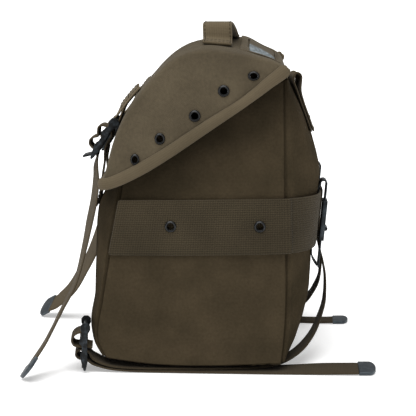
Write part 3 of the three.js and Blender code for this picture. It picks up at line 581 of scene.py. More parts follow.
def lowerEdge(u):
    return readRows(bagBody["lowerEdge"], "u", u, "z")


def seamPinch(distance):
    return bagBody["pinch"] * math.exp(-(distance / bagBody["pinchReach"]) ** 2)


def foldDepth(fold, a, b, seed):
    return fold["depth"] * noise.noise(Vector((a / fold["size"][0], b / fold["size"][1], seed)))


def clothFold(a, b, seed, distance):    # slack in the cloth, with puckers beside a seam
    slack = foldDepth(bagBody["broad"], a, b, seed)
    slack += foldDepth(bagBody["fine"], a, b, seed + bagBody["fineSeed"])
    pucker = bagBody["pucker"]
    ridge = noise.noise(Vector((seed, b / pucker["size"], pucker["seed"])))
    ridge *= math.exp(-distance / pucker["reach"])
    return (slack + pucker["depth"] * ridge) * clamp(distance / bagBody["calm"])


def dentDepth(dents, column, at, z):
    depth = 0
    for dent in dents:
        reach = ((at - dent[column]) / dent["wide"]) ** 2 + ((z - dent["z"]) / dent["tall"]) ** 2
        depth += dent["depth"] * math.exp(-reach)
    return depth


def spread(u):
    return math.sin((u - 0.5) * math.pi)


def wallShape(wall):    # the front or back wall
    settings = bagBody["walls"][wall]

    def shape(u, v):
        x = bagBody["halfWidth"] * spread(u)
        z = lerp(lowerEdge(settings["u"]), settings["rim"], v)
        distance = bagBody["halfWidth"] - abs(x)
        pinch = seamPinch(distance)
        fold = clothFold(x, z, settings["seed"], min(distance, bagBody["hemReach"] * v))
        dent = dentDepth(settings["dents"], "x", abs(x), z)
        y = wallFace(wall, x, z) + settings["out"] * (fold - pinch - dent)
        return (x - math.copysign(pinch, x), y, z), (x, z)
    return shape


def sideShape(sign):
    rims = [wall["rim"] for wall in bagBody["walls"].values()]

    def shape(u, v):
        u = (spread(u) + 1) / 2
        z = lerp(lowerEdge(u), lerp(*rims, u), v)
        front, back = section(z, "front"), section(z, "back")
        y = lerp(front, back, u)
        distance = min(y - front, back - y)
        pinch = seamPinch(distance)
        fold = clothFold(y, z, bagBody["sideSeed"] + sign, min(distance, bagBody["hemReach"] * v))
        x = sideFace(u, z) - pinch + fold
        x -= dentDepth(bagBody["dents"], "y", y, z) * clamp(distance / bagBody["dentReach"])
        y += pinch if u < 0.5 else -pinch
        return (sign * x, y, z), (y, z)
    return shape


def baseShape(u, v):
    x = bagBody["halfWidth"] * spread(u)
    t = (spread(v) + 1) / 2
    z = lowerEdge(t)
    y = lerp(section(z, "front"), section(z, "back"), t)
    y += t * wallSwell("back", x, lowerEdge(1)) - (1 - t) * wallSwell("front", x, lowerEdge(0))
    pinch = seamPinch(bagBody["halfWidth"] - abs(x))
    edge = seamPinch(min(t, 1 - t) * bagBody["baseDepth"])
    corner = pinch * (1 if t < 0.5 else -1) * (edge / bagBody["pinch"])
    sag = bagBody["sag"] * math.sin(math.pi * t)
    sag *= 1 - abs(x / bagBody["halfWidth"]) ** bagBody["sagSquareness"]
    return (x - math.copysign(pinch, x), y + corner, z - sag), (x, y)


def makeBagBody():
    columns, rows = bagBody["columns"], bagBody["rows"]
    panels = [newGrid(wall, columns, rows, wallShape(wall)) for wall in bagBody["walls"]]
    panels += [newGrid(name, columns, rows, sideShape(sign)) for name, sign in sides.items()]
    panels.append(newGrid("base", columns, columns, baseShape))
    body = joinPieces(panels, "canvas_body")
    mergeDoubles(body, bagBody["weld"])
    thicken(body, bagBody["canvas"], -1, even=False)    # the seams fold too sharply for an even thickness
    finishPiece(body, bodyDuckShaded, [
        "front_panel", "back_panel", "side_panel_right", "side_panel_left", "base_panel"], angle=50)
    return body


canvasBody = makeBagBody()
print("canvas body sewn")


# Flap: one sheet over the top with a wing down each side

flap = {
    "halfWidth": 124.2, "canvas": 2.0, "shoulder": 4, "flare": 5, "flareDrop": 80, "belly": 0.9,
    "wingShare": 0.26, "shoulderShare": 0.35, "columns": 104, "perRow": 10, "tuck": 3.0,
    "broad": {"depth": 1.3, "size": (45, 60)}, "fine": {"depth": 0.6, "size": (16, 18)},
    "seeds": {"broad": 2.5, "fine": 8.5}, "length": 235, "searchFrom": 0.05,
    "eyeletDimple": 0.5, "dimpleArea": 60, "farLift": 4.6, "liftAt": 33, "liftReach": 14, "liftFull": 90,
    "liftDrop": 40, "shoulderShareMost": 0.45, "tuckMost": 0.4, "bellyFull": 30, "foldFull": 12,
    "drape": 1.3,    # cloth along the flap for each millimetre along a wing's edge
    "calm": {"y": -10, "fadeY": 8, "x": 95, "fadeX": 10},    # flat under the handle and the window
    "profile": table(    # the flap's edge seen from the side, from the back seam over the top to the hem
        "y z crown", (69, 240.6, 1.5), (68.4, 246, -0.6), (61.5, 251.7, -3.6), (38, 257.9, 2.6),
        (2, 262, 4), (-22, 254, 3.5), (-41, 235.5, 3), (-57, 214.5, 3), (-68, 192, 3), (-74.5, 169, 3),
        (-78, 151, 3.5)),
    "earPoint": (69, 244), "cornerPoint": (-78.5, 150.6),
    "edgeSag": table(    # how far a wing's lower edge hangs below the line from ear to corner
        "s sag", (0, 0.6), (6, 2), (28, 4), (66, 5.4), (104, 6.9), (124, 7.3), (142, 6.7), (160, 4.7),
        (168, 2.6), (176, -0.6))}

flapLine = [rowPoint(row) for row in flap["profile"]]
earPoint = Vector((0, *flap["earPoint"]))
edgeAlong = (Vector((0, *flap["cornerPoint"])) - earPoint).normalized()
edgeUp = Vector((0, edgeAlong.z, -edgeAlong.y))
wingDown = -edgeUp


def flapCrown(t):
    along = clamp(t) * (len(flapLine) - 1)
    k = min(int(along), len(flapLine) - 2)
    return lerp(flap["profile"][k]["crown"], flap["profile"][k + 1]["crown"], along - k)


def flapOut(t):
    tangent = pathTangent(flapLine, t)
    return Vector((0, tangent.z, -tangent.y))


def flapPlace(column, value):    # how far along the flap a height or depth is reached
    return halve(flap["searchFrom"], 1.0, lambda t: getattr(pathPoint(flapLine, t), column) > value)


def farLift(x, y):    # the flap's far side stands a little higher behind the handle
    side = clamp(-x / flap["liftFull"])
    reach = math.exp(-((y - flap["liftAt"]) / flap["liftReach"]) ** 2)
    return Vector((0, 0, flap["farLift"] * side * side * (3 - 2 * side) * reach))


def flapPoint(x, t):
    rise = flapCrown(t) * (1 - min(abs(x) / (flap["halfWidth"] - flap["shoulder"]), 1) ** 2)
    point = pathPoint(flapLine, t) + flapOut(t) * rise + Vector((x, 0, 0))
    return point + farLift(x, point.y)


def flapHeight(x, y):
    return flapPoint(x, flapPlace("y", y)).z


def edgeSag(s):
    return readRows(flap["edgeSag"], "s", s, "sag")


def edgePoint(s):    # a place on a wing's lower edge, in the plane of the bag's side
    return earPoint + edgeAlong * s + wingDown * edgeSag(s)


def wingLength(t):
    fromEar = pathPoint(flapLine, t) - earPoint
    s = fromEar.dot(edgeAlong)
    return max(fromEar.dot(edgeUp) + edgeSag(s), 1.0), s


def shoulderOf(length):
    return min(flap["shoulder"], flap["shoulderShareMost"] * length)


def wingX(down, length):
    shoulder = shoulderOf(length)
    share = clamp((down - shoulder) / max(length - shoulder, 1e-3))
    return (flap["halfWidth"] + flap["flare"] * clamp((down - shoulder) / flap["flareDrop"])
            + flap["belly"] * math.sin(math.pi * share) * clamp(length / flap["bellyFull"]))


def seamPlace(s):    # where the flap's edge stands over a place on the wing's lower edge
    return halve(0.0, 1.0, lambda t: (pathPoint(flapLine, t) - earPoint).dot(edgeAlong) < s)


def wingSpot(y, z):    # the wing's outer face at a place seen from the side
    fromEar = Vector((0, y, z)) - earPoint
    s = fromEar.dot(edgeAlong)
    length, _ = wingLength(seamPlace(s))
    down = length - (fromEar.dot(edgeUp) + edgeSag(s))
    return wingX(down, length)


wingEyelets = [{"y": 42.5, "z": 241.8, "oval": (1, 0.8)}, {"y": 19, "z": 230}, {"y": -3.8, "z": 210.3},
               {"y": -31.5, "z": 192.1, "oval": (0.9, 1)}, {"y": -51.4, "z": 175.4, "oval": (0.78, 1)}]


def flapShape(u, v):
    sign = 1 if u < 0.5 else -1
    w = min(u, 1 - u)
    edge = pathPoint(flapLine, v)
    length, s = wingLength(v)
    shoulder = shoulderOf(length)
    top = flap["halfWidth"] - shoulder
    lean = 1.0
    if w < flap["wingShare"]:
        k = w / flap["wingShare"]
        down = lerp(length - min(flap["tuck"], flap["tuckMost"] * length), shoulder, k)
        x = wingX(down, length)
        rise = 0.0
        across = top + shoulder * math.pi / 2 + down - shoulder
    elif w < flap["shoulderShare"]:
        turn = (w - flap["wingShare"]) / (flap["shoulderShare"] - flap["wingShare"]) * math.pi / 2
        x = top + shoulder * math.cos(turn)
        down = shoulder * (1 - math.sin(turn))
        rise = 0.0
        lean = math.cos(turn)
        across = top + shoulder * (math.pi / 2 - turn)
    else:
        x = top * (0.5 - w) / (0.5 - flap["shoulderShare"])
        down = 0.0
        rise = flapCrown(v) * (1 - (x / top) ** 2)
        lean = 0.0
        across = x
    out = flapOut(v)
    point = edge + wingDown * down + out * rise + Vector((x, 0, 0))
    along = s * flap["drape"]
    fold = sum(foldDepth(flap[size], sign * across, along, seed) for size, seed in flap["seeds"].items())
    fold *= clamp(length / flap["foldFull"])
    if lean == 0.0:
        calm = flap["calm"]
        fold *= 1 - clamp((point.y - calm["y"]) / calm["fadeY"]) * clamp((calm["x"] - abs(x)) / calm["fadeX"])
    if down > shoulder:
        for row in wingEyelets:
            apart = (point.y - row["y"]) ** 2 + (point.z - row["z"]) ** 2
            near = math.exp(-apart / flap["dimpleArea"])
            fold = fold * (1 - near) - flap["eyeletDimple"] * near
    point += Vector((fold * lean, 0, 0)) + out * fold * (1 - lean)
    point += farLift(sign * x, edge.y) * clamp(1 - down / flap["liftDrop"])
    return (sign * point.x, point.y, point.z), (sign * across, along)


hole = {"radius": 3.4, "depth": 14, "sides": 24}


def punchHoles(piece, spots):    # cuts round holes for eyelets through along X
    cutters = [newPrimitive(
        bpy.ops.mesh.primitive_cylinder_add, vertices=hole["sides"], radius=hole["radius"] * mm,
        depth=hole["depth"] * mm, location=place(*spot), rotation=(0, math.pi / 2, 0)) for spot in spots]
    cutter = joinPieces(cutters, "hole_cutter")
    applyModifier(piece, "BOOLEAN", object=cutter, operation="DIFFERENCE", solver="EXACT")
    bpy.data.objects.remove(cutter)


def makeFlap():
    rows = (len(flapLine) - 1) * flap["perRow"]
    cloth = newGrid("flap_cloth", flap["columns"], rows, flapShape)
    thicken(cloth, flap["canvas"], -1)
    holes = [(sign * wingSpot(row["y"], row["z"]), row["y"], row["z"])
             for sign in sides.values() for row in wingEyelets]
    punchHoles(cloth, holes)
    area = sum(face.area for face in cloth.data.polygons) / 2
    finishPiece(cloth, flapDuckLit, ["flap_top", "flap_wing_right", "flap_wing_left"], angle=50)
    return cloth, area


flapCloth, flapArea = makeFlap()
print("flap cloth laid, square metres:", round(flapArea, 4))


# Bound edge: one tape from ear to ear, round both wings and along the front hem

binding = {"width": 9.2, "thickness": 2.6, "dome": 2.2, "perRow": 4, "inset": 0.4, "bare": 4, "stitch": 2.6,
           "stitchInset": 1, "columns": 6, "wingRow": 10, "narrowest": 0.03,
           "wingSteps": [16, 26, 45, 68, 90, 115, 138, 154, 165],
           "ear": table("y z", (69, 248.2), (66.6, 245.8), (61.4, 241.6)),
           "corner": table("x y z", (124.8, -75.4, 155.6), (121.8, -78.6, 155.2)),
           "hemSpread": [116, 100, 70, 35, 0, -35, -70, -100, -116],
           "taper": table(    # share of the full width that shows, by the way from the ear
               "at wide", (0, 1.15), (16, 1), (42, 0.78), (80, 0.93), (115, 0.98), (140, 1.03), (168, 1),
               (200, 1))}


def tapeWide(at):
    return readRows(binding["taper"], "at", at, "wide")


def wingBindingRows(sign):
    centres = [rowPoint(row) for row in binding["ear"]]
    centres += [edgePoint(s) + edgeUp * binding["width"] / 2 * tapeWide(s) for s in binding["wingSteps"]]
    rows = []
    for i, centre in enumerate(centres):
        along = (centres[min(i + 1, len(centres) - 1)] - centres[max(i - 1, 0)]).normalized()
        x = wingSpot(centre.y, centre.z) - binding["inset"]
        rows.append((Vector((sign * x, centre.y, centre.z)), Vector((0, along.z, -along.y))))
    return rows


def bindingRoute():
    t = 1 - binding["width"] / 2 / flap["length"]
    hem = [(flapPoint(x, t) - flapOut(t) * binding["inset"], -pathTangent(flapLine, t))
           for x in binding["hemSpread"]]
    corner = [(rowPoint(row), Vector((0, 0, 1))) for row in binding["corner"]]
    mirrored = [(Vector((-p.x, p.y, p.z)), a) for p, a in reversed(corner)]
    return wingBindingRows(1) + corner + hem + mirrored + list(reversed(wingBindingRows(-1)))


bindingFrames = routeFrames(bindingRoute(), binding["perRow"])
bindingLength = bindingFrames[-1]["length"]
for row in bindingFrames:    # both ends are rounded at the ears
    fromEnd = min(row["length"], bindingLength - row["length"])
    blunt = clamp(fromEnd / (binding["width"] / 2), binding["narrowest"], 1)
    row["wide"] = math.sqrt(1 - (1 - blunt) ** 2) * tapeWide(min(fromEnd, binding["taper"][-1]["at"]))
onWing = bindingFrames[binding["wingRow"] * binding["perRow"]]
bindingOut = 1 if onWing["out"].x > 0 else -1
flapBinding = newRibbon("flap_binding", bindingFrames, binding["width"], binding["thickness"],
                        binding["columns"], bindingOut * binding["dome"])
finishPiece(flapBinding, bindingTape, [
    "flap_hem_binding", "wing_binding_right", "wing_binding_left"], angle=70)
sewAlong(bindingFrames, binding["width"] / 2 - binding["stitchInset"], bindingOut * binding["thickness"] / 2,
         binding["bare"], bindingLength - binding["bare"], binding["stitch"])
print("flap edges bound")


# Web band round both sides and the back

band = {"height": 45, "thickness": 2.2, "backGap": 2.6, "sideGap": 1.8, "backZ": 122, "frontDrop": 1.8,
        "side": 142, "columns": 180, "rows": 12, "ripple": 0.5, "rippleSize": 26, "rippleFull": 20,
        "rippleTall": 1.5, "seed": 5.5, "frontInset": 1, "squareness": 6,
        "cornerHug": 0.6,    # share of the gap at the back that is gone at its corners
        "eyelets": table("y z", (-23.2, 122.1), (47.9, 122.1))}


def bandShape(u, v):
    total = 2 * (band["side"] + bagBody["halfWidth"])
    s = u * total
    lift = (v - 0.5) * band["height"] + band["backZ"]
    onSide = min(s, total - s)
    ripple = noise.noise(Vector((s / band["rippleSize"], v * band["rippleTall"], band["seed"])))
    ripple *= clamp(onSide / band["rippleFull"])
    if onSide < band["side"]:
        t = onSide / band["side"]
        z = lift - band["frontDrop"] * (1 - t)
        y = lerp(section(z, "front") + band["frontInset"], section(z, "back"), t)
        x = sideFace(t, z) + band["sideGap"] + band["ripple"] * ripple
        return (x if s < total / 2 else -x, y, z), (s, v * band["height"])
    onBack = (s - band["side"]) / (2 * bagBody["halfWidth"])
    x = (bagBody["halfWidth"] + band["sideGap"]) * math.cos(onBack * math.pi)
    inner = min(abs(x), bagBody["halfWidth"])
    gap = band["backGap"] * (1 - band["cornerHug"] * (inner / bagBody["halfWidth"]) ** band["squareness"])
    return (x, wallFace("back", inner, lift) + gap, lift), (s, v * band["height"])


def bandEyeletX(row):
    front, back = section(row["z"], "front"), section(row["z"], "back")
    return sideFace((row["y"] - front) / (back - front), row["z"]) + band["sideGap"] + band["thickness"] / 2


def makeBand():
    piece = newGrid("web_band", band["columns"], band["rows"], bandShape)
    thicken(piece, band["thickness"], 1)
    smoothOut(piece)
    punchHoles(piece, [(sign * bandEyeletX(row), row["y"], row["z"])
                       for sign in sides.values() for row in band["eyelets"]])
    finishPiece(piece, bandWebbing, ["side_band"], angle=60)


makeBand()
print("web band laid")


# Eyelets: one rolled ring, spun from its section and copied

eyelet = {
    "sides": 28, "sink": 1.3, "weld": 0.01,
    "section": table(    # from the middle of the hole and of the cloth
        "r h", (2.6, -1.6), (2.9, -2.1), (3.9, -2.2), (4.5, -1.9), (4.6, -1.1), (3.3, -1.1), (3.3, 1.1),
        (4.6, 1.1), (4.7, 1.5), (4.4, 2.1), (3.8, 2.45), (3.1, 2.3), (2.7, 1.8))}


def makeEyeletRing():
    ring = newPrimitive(bpy.ops.mesh.primitive_circle_add, vertices=len(eyelet["section"]), radius=1)
    for vertex, row in zip(ring.data.vertices, eyelet["section"]):
        vertex.co = Vector((row["h"], row["r"], 0)) * mm
    editWhole(ring, lambda: bpy.ops.mesh.spin(
        steps=eyelet["sides"], angle=2 * math.pi, center=(0, 0, 0), axis=(1, 0, 0)))
    mergeDoubles(ring, eyelet["weld"])
    layer = ring.data.uv_layers.new(name="UVMap").data
    for loop in ring.data.loops:
        spot = ring.data.vertices[loop.vertex_index].co
        layer[loop.index].uv = (math.hypot(spot.y, spot.z), spot.x)
    return ring


def makeEyelets():
    ring = makeEyeletRing()
    for side, sign in sides.items():
        spots = [(f"wing_eyelet_{side}_{i + 1}", wingSpot(row["y"], row["z"]) - eyelet["sink"], row)
                 for i, row in enumerate(wingEyelets)]
        spots += [(f"band_eyelet_{side}_{i + 1}", bandEyeletX(row), row)
                  for i, row in enumerate(band["eyelets"])]
        for name, x, row in spots:
            turn = Matrix.Identity(4) if sign > 0 else Matrix.Rotation(math.pi, 4, "Z")
            turn = turn @ Matrix.Diagonal((1, *row.get("oval", (1, 1)), 1))
            copy = copyPiece(ring, "enamel_" + name)
            moveMesh(copy, Matrix.Translation(place(sign * x, row["y"], row["z"])) @ turn)
            finishPiece(copy, blackEnamel, [name], angle=35)
    bpy.data.objects.remove(ring)


makeEyelets()
print("eyelets set")


# Carry handle

handle = {
    "width": 24.6, "thickness": 3.0, "perRow": 5, "columns": 6, "footLength": 15, "levelFrom": 10,
    "probe": 6, "seam": 2, "seamEnds": 5, "seamLift": 0.47,
    "route": table(    # over is the height above the flap
        "x y over", (82, 12.6, 1.7), (68, 12.6, 1.8), (61.8, 12.6, 4.2), (60, 12.4, 9.8), (58, 12.2, 14.2),
        (52, 12.2, 16), (28, 13.4, 14.8), (0, 15, 10.8), (-28, 16.2, 6.6), (-50, 16.8, 2.8),
        (-60, 17, 1.8), (-80, 17.2, 1.7))}


def makeHandle():
    route = []
    for row in handle["route"]:
        back, front = [flapHeight(row["x"], row["y"] + way * handle["probe"]) for way in (1, -1)]
        slope = (back - front) / (2 * handle["probe"])
        level = min(row["over"] / handle["levelFrom"], 1)
        point = Vector((row["x"], row["y"], flapHeight(row["x"], row["y"]) + row["over"]))
        route.append((point, Vector((0, 1, slope * (1 - level))).normalized()))
    frames = routeFrames(route, handle["perRow"])
    piece = newRibbon("carry_strap", frames, handle["width"], handle["thickness"], handle["columns"])
    finishPiece(piece, litWebbing, ["carry_handle"], angle=70)
    up = 1 if frames[0]["out"].z > 0 else -1
    lift = up * handle["thickness"] * handle["seamLift"]
    total = frames[-1]["length"]
    for side in (-1, 1):
        sewAlong(frames, side * (handle["width"] / 2 - handle["seam"]), lift, 0, total)
    for at in (handle["seam"], handle["footLength"]):
        sewAcross(frames, at, lift, handle["width"] - handle["seamEnds"])
        sewAcross(frames, total - at, lift, handle["width"] - handle["seamEnds"])


makeHandle()
print("carry handle sewn")


# Card window on the flap

window = {"x": 98, "front": 30.5, "back": 63.5, "border": 5, "lift": 0.4, "frame": 1.3, "pane": 0.6,
          "paneGap": 0.2, "columns": 44, "rows": 24}


def windowShape(inset, lift):
    start, end = flapPlace("y", window["back"]), flapPlace("y", window["front"])
    trim = inset / flap["length"]

    def shape(u, v):
        x = (window["x"] - inset) * (1 - 2 * u)
        t = lerp(start + trim, end - trim, v)
        point = flapPoint(x, t) + flapOut(t) * lift
        return tuple(point), (x, v * (window["back"] - window["front"]))
    return shape


def makeWindow():
    rim = newGrid("window_frame", window["columns"], window["rows"], windowShape(0, window["lift"]))
    inner = windowShape(window["border"], window["lift"])
    low, high = place(*inner(1, 0)[0]), place(*inner(0, 1)[0])
    deleteFaces(rim, lambda face: low.x < face.center.x < high.x and high.y < face.center.y < low.y)
    thicken(rim, window["frame"], 1)
    smoothOut(rim)
    finishPiece(rim, flapDuckLit, ["card_window_frame"], angle=70)
    pane = newGrid("window_pane", window["columns"], window["rows"],
                   windowShape(window["border"] + window["paneGap"], window["lift"]))
    thicken(pane, window["pane"], 1)
    finishPiece(pane, clearVinyl, ["card_window_pane"], angle=60)


makeWindow()
print("card window set")


# Ladder buckles: one model, copied to the flap and the base

buckle = {
    "railX": 14.4, "rail": 2.0, "bar": 1.5, "bevel": 0.45, "barBevel": 0.3,
    "outline": table(    # a rail from the side: out is away from the bag, up is along the rail
        "out up", (0.2, -2.6), (1.8, -2.6), (3.6, 4.4), (4.4, 8.6), (4.2, 11.6), (2.8, 14.4), (3, 18.2),
        (5.4, 20.4), (4.6, 23.4), (2.6, 28), (4, 31.4), (4, 34.7), (1.8, 37), (-1.8, 37), (-4, 34.7),
        (-4, 31.4), (-2, 28), (-1.4, 22.9), (-1.4, 4)),
    "bars": table("out up", (0, 33.1), (3.6, 21), (2.2, 10.8), (1.6, 1.1)),
    "tongue": {"out": 1.6, "up": 1, "width": 20, "thickness": 1.8, "bevel": 0.7},
    "flapTongue": {"length": 9, "drop": 45}, "baseTongue": {"length": 3, "drop": 60},
    "flapX": 65, "flapTop": {"right": {"y": -72, "z": 200.5}, "left": {"y": -75.8, "z": 193.3}},
    "flapTilt": -31.7, "baseSpot": {"x": 108, "y": -94.2, "z": 4.6}, "baseYaw": 5}


def extrudePlate(points, offset):    # a flat outline drawn from a circle's points and given its depth
    plate = newPrimitive(
        bpy.ops.mesh.primitive_circle_add, vertices=len(points), radius=1, fill_type="NGON")
    for vertex, point in zip(plate.data.vertices, points):
        vertex.co = Vector(point) * mm
    editWhole(plate, lambda: bpy.ops.mesh.extrude_region_move(
        TRANSFORM_OT_translate={"value": Vector(offset) * mm}), faceOutward)
    return plate


def makeBuckle(swing):    # swing is the length and droop of its tongue
    rows = [Vector((0, -row["out"], row["up"])) for row in buckle["outline"]]
    outline = []
    for i, row in enumerate(rows):
        outline += [row, row.lerp(rows[(i + 1) % len(rows)], 0.5)]
    pieces = []
    for side in (-1, 1):
        x = side * buckle["railX"] - buckle["rail"] / 2
        rail = extrudePlate([(x, y, z) for _, y, z in outline], (buckle["rail"], 0, 0))
        roundEdges(rail, buckle["bevel"])
        pieces.append(rail)
    for row in buckle["bars"]:
        bar = newRod(buckle["bar"], 2 * buckle["railX"], (0, -row["out"], row["up"]))
        roundEdges(bar, buckle["barBevel"])
        pieces.append(bar)
    size = buckle["tongue"]
    tongue = newSolid(bpy.ops.mesh.primitive_cube_add, size=mm,
                      scale=(size["width"], swing["length"], size["thickness"]))
    moveMesh(tongue, Matrix.Translation(Vector((0, -size["out"], size["up"])) * mm)
             @ Matrix.Rotation(math.radians(swing["drop"]), 4, "X")
             @ Matrix.Translation(Vector((0, -swing["length"] / 2, 0)) * mm))
    roundEdges(tongue, size["bevel"], 3)
    pieces.append(tongue)
    return joinPieces(pieces, "buckle_model")


def flapFrame(sign):
    turn = Matrix.Rotation(math.radians(buckle["flapTilt"]), 4, "X")
    top = turn @ Vector((0, 0, buckle["bars"][0]["up"]))
    spot = buckle["flapTop"]["right" if sign > 0 else "left"]
    return Matrix.Translation((sign * buckle["flapX"], spot["y"] - top.y, spot["z"] - top.z)) @ turn


def baseFrame(sign):
    spot = buckle["baseSpot"]
    turn = Matrix.Rotation(math.radians(sign * buckle["baseYaw"]), 4, "Z")
    return Matrix.Translation((sign * spot["x"], spot["y"], spot["z"])) @ turn


def toMetres(matrix):    # a frame given in the bag's millimetres
    return Matrix.Translation(place(*matrix.translation)) @ matrix.to_3x3().to_4x4()


def makeBuckles():
    for spot, findFrame in (("flap", flapFrame), ("base", baseFrame)):
        model = makeBuckle(buckle[spot + "Tongue"])
        for side, sign in sides.items():
            copy = copyPiece(model, f"ladder_{spot}_{side}")
            moveMesh(copy, toMetres(findFrame(sign)))
            finishPiece(copy, blackenedSteel, [f"{spot}_buckle_{side}"], angle=35)
        bpy.data.objects.remove(model)


makeBuckles()
print("buckles set")


# Straps

strap = {
    "width": 25, "thickness": 1.8, "perRow": 5, "columns": 5,
    "tip": {"length": 12, "thickness": 3.0, "round": 5.5, "inset": 0.2, "overlap": 2.2, "steps": 16,
            "bevel": 0.7},
    "flapWeave": table(    # how a strap goes through a buckle on the flap
        "out up", (-4.2, 11.1), (-3.7, 18.2), (-3.4, 22.6), (-1.2, 25.7), (3, 26.5), (7.4, 25.5),
        (9.2, 22.7), (7.8, 19), (6, 16), (8.2, 13.7), (9.8, 10.2), (8, 6.6), (3.6, 5.2), (-0.6, 3.2)),
    "baseWeave": table(    # and at the base
        "out up", (-4.4, 8.4), (-2.4, 11.7), (0.8, 13.8), (4.4, 14), (7.4, 12.2), (7.8, 8.9), (5.4, 6.8),
        (1.8, 6.2), (-2, 4.8)),
    "onWall": {"heights": (130, 140), "x": 55, "over": 1.9},
    "climb": table("y z turn", (-84.4, 148, 4), (-83.2, 156, 6), (-81.6, 166, 5)),
    "flapTab": {    # folded round the buckle's top bar, with its two layers standing off the flap
        "right": {"top": 227, "bottom": 211, "rows": 4, "over": (3.2, 5.2), "under": (1.1, 3.2), "turn": 10},
        "left": {"top": 227, "bottom": 204, "rows": 4, "over": (2.6, 3.6), "under": (0.9, 1.6), "turn": 0}},
    "barTurn": {"radius": 3.0, "start": 50, "end": -190, "steps": 8},
    "baseTab": table(    # a loose loop round the second bar
        "out up", (-5.6, 15.9), (-3.6, 16.3), (-1, 16.8), (4.6, 16.7), (9.4, 17.8), (11.2, 21.4),
        (9.4, 26), (4.6, 28.4), (0.6, 27.2), (-0.6, 24.4)),
    "flapEnd": {    # free ends from the buckle down to the floor, with their turn in degrees
        "right": table(
            "x y z turn", (65, -89, 163, 13), (67, -88.8, 152, 16), (71, -90.3, 135, 17),
            (74, -93.5, 118.6, 17), (80, -98.2, 94.3, 13), (92, -104.2, 69.5, 8), (110, -114.4, 48, 5),
            (128, -124.4, 28, 4), (144.6, -134.2, 13, 4)),
        "left": table(
            "x y z turn", (-65.6, -92.4, 156, 3), (-68, -91.6, 135, 10), (-71, -96, 103, 20),
            (-74, -107, 68, 24), (-77, -116.5, 49.3, 24), (-82, -128.5, 29.6, 25), (-87, -142.5, 16, 25),
            (-91, -150, 11.4, 24))},
    "slack": table(    # from the band at the back, hanging slack and going under the bag
        "x y z", (34, 100.9, 142), (34, 98.2, 112), (34.3, 98.4, 100), (35, 99.4, 90), (38.6, 102, 79),
        (44.4, 103.8, 66), (52, 102.8, 48), (61, 98.4, 35), (71, 92.4, 24.2), (82, 83.6, 15), (91, 74, 9),
        (97, 63, 5), (101, 48, 3.2), (105, 20, 2.9), (106.5, -28, 2.9), (107, -45, 3), (107.3, -61, 3.6),
        (107.5, -73, 5), (107.7, -81, 7.4), (107.8, -86.2, 10.1)),
    "floorRun": table(    # from the base buckle down to the floor; lean says where the far edge lifts again
        "y lift lean", (-88, 6, 0), (-81, 3.6, 0), (-73, 1.8, 0), (-61, 0.6, 0), (-45, 0.1, 0),
        (-28, 0, 0), (30, 0, 0), (70, 0, 0.4), (100, 0, 1)),
    "baseEnd": {"right": {"x": 112, "y": 131, "lean": 0.13}, "left": {"x": -76, "y": 119.5, "lean": 0}}}


def inFrame(rows, matrix):
    across = matrix.to_3x3() @ acrossX
    return [(matrix @ Vector((0, -row["out"], row["up"])), across) for row in rows]


def turned(row):
    return Matrix.Rotation(math.radians(row["turn"]), 3, "Z") @ acrossX


def barTurn():    # webbing round a buckle's top bar
    turn = strap["barTurn"]
    rows = []
    for i in range(turn["steps"] + 1):
        angle = math.radians(lerp(turn["start"], turn["end"], i / turn["steps"]))
        rows.append({"out": turn["radius"] * math.cos(angle),
                     "up": buckle["bars"][0]["up"] + turn["radius"] * math.sin(angle)})
    return rows


def makeTip(name, frames, nodes):
    last = frames[-1]
    size = strap["tip"]
    half = strap["width"] / 2 - size["inset"]
    level = -size["thickness"] / 2
    outline = [(side * half, -size["overlap"], level) for side in (-1, 1)]    # pressed over the webbing's end
    for i in range(size["steps"] + 1):
        angle = math.pi * i / size["steps"]
        ahead = size["length"] - size["round"] + size["round"] * math.sin(angle)
        outline.append((half * math.cos(angle), ahead, level))
    tip = rename(extrudePlate(outline, (0, 0, size["thickness"])), name)
    roundEdges(tip, size["bevel"], 3)
    out = last["across"].cross(last["along"])
    turn = Matrix((last["across"], last["along"], out)).transposed().to_4x4()
    moveMesh(tip, toMetres(Matrix.Translation(last["point"]) @ turn))
    finishPiece(tip, dullSteel, nodes, angle=35)


def makeStrap(name, route, nodes, material=strapWebbing):
    frames = routeFrames(route, strap["perRow"])
    piece = newRibbon(name, frames, strap["width"], strap["thickness"], strap["columns"])
    finishPiece(piece, material, nodes, angle=70)
    return frames


def makeFlapTab(side, sign):
    size = strap["flapTab"][side]
    over, under = [], []
    for i in range(size["rows"]):
        down = i / (size["rows"] - 1)
        t = flapPlace("z", lerp(size["top"], size["bottom"], down))
        point = flapPoint(sign * buckle["flapX"], t)
        over.append((point + flapOut(t) * lerp(*size["over"], down), turned(size)))
        under.insert(0, (point + flapOut(t) * lerp(*size["under"], down), acrossX))
    route = over + inFrame(barTurn(), flapFrame(sign)) + under
    frames = makeStrap(f"flap_tab_{side}", route, [f"flap_buckle_tab_{side}"], litWebbing)
    up = 1 if frames[0]["out"].z > 0 else -1
    sewBox(frames, up * stitch["lift"], stitch["tabLines"])


def makeFlapStrap(side, sign):
    x = sign * buckle["flapX"]
    wall = strap["onWall"]
    route = [(Vector((x, wallFace("front", wall["x"], z) - wall["over"], z)), acrossX)
             for z in wall["heights"]]
    route += [(rowPoint({**row, "x": x}), turned(row)) for row in strap["climb"]]
    route += inFrame(strap["flapWeave"], flapFrame(sign))
    route += [(rowPoint(row), turned(row)) for row in strap["flapEnd"][side]]
    frames = makeStrap(f"flap_webbing_{side}", route, [f"flap_strap_{side}"])
    out = 1 if frames[0]["out"].y < 0 else -1
    sewBox(frames, out * stitch["lift"], stitch["strapLines"])
    makeTip(f"flap_tip_{side}", frames, [f"flap_strap_tip_{side}"])


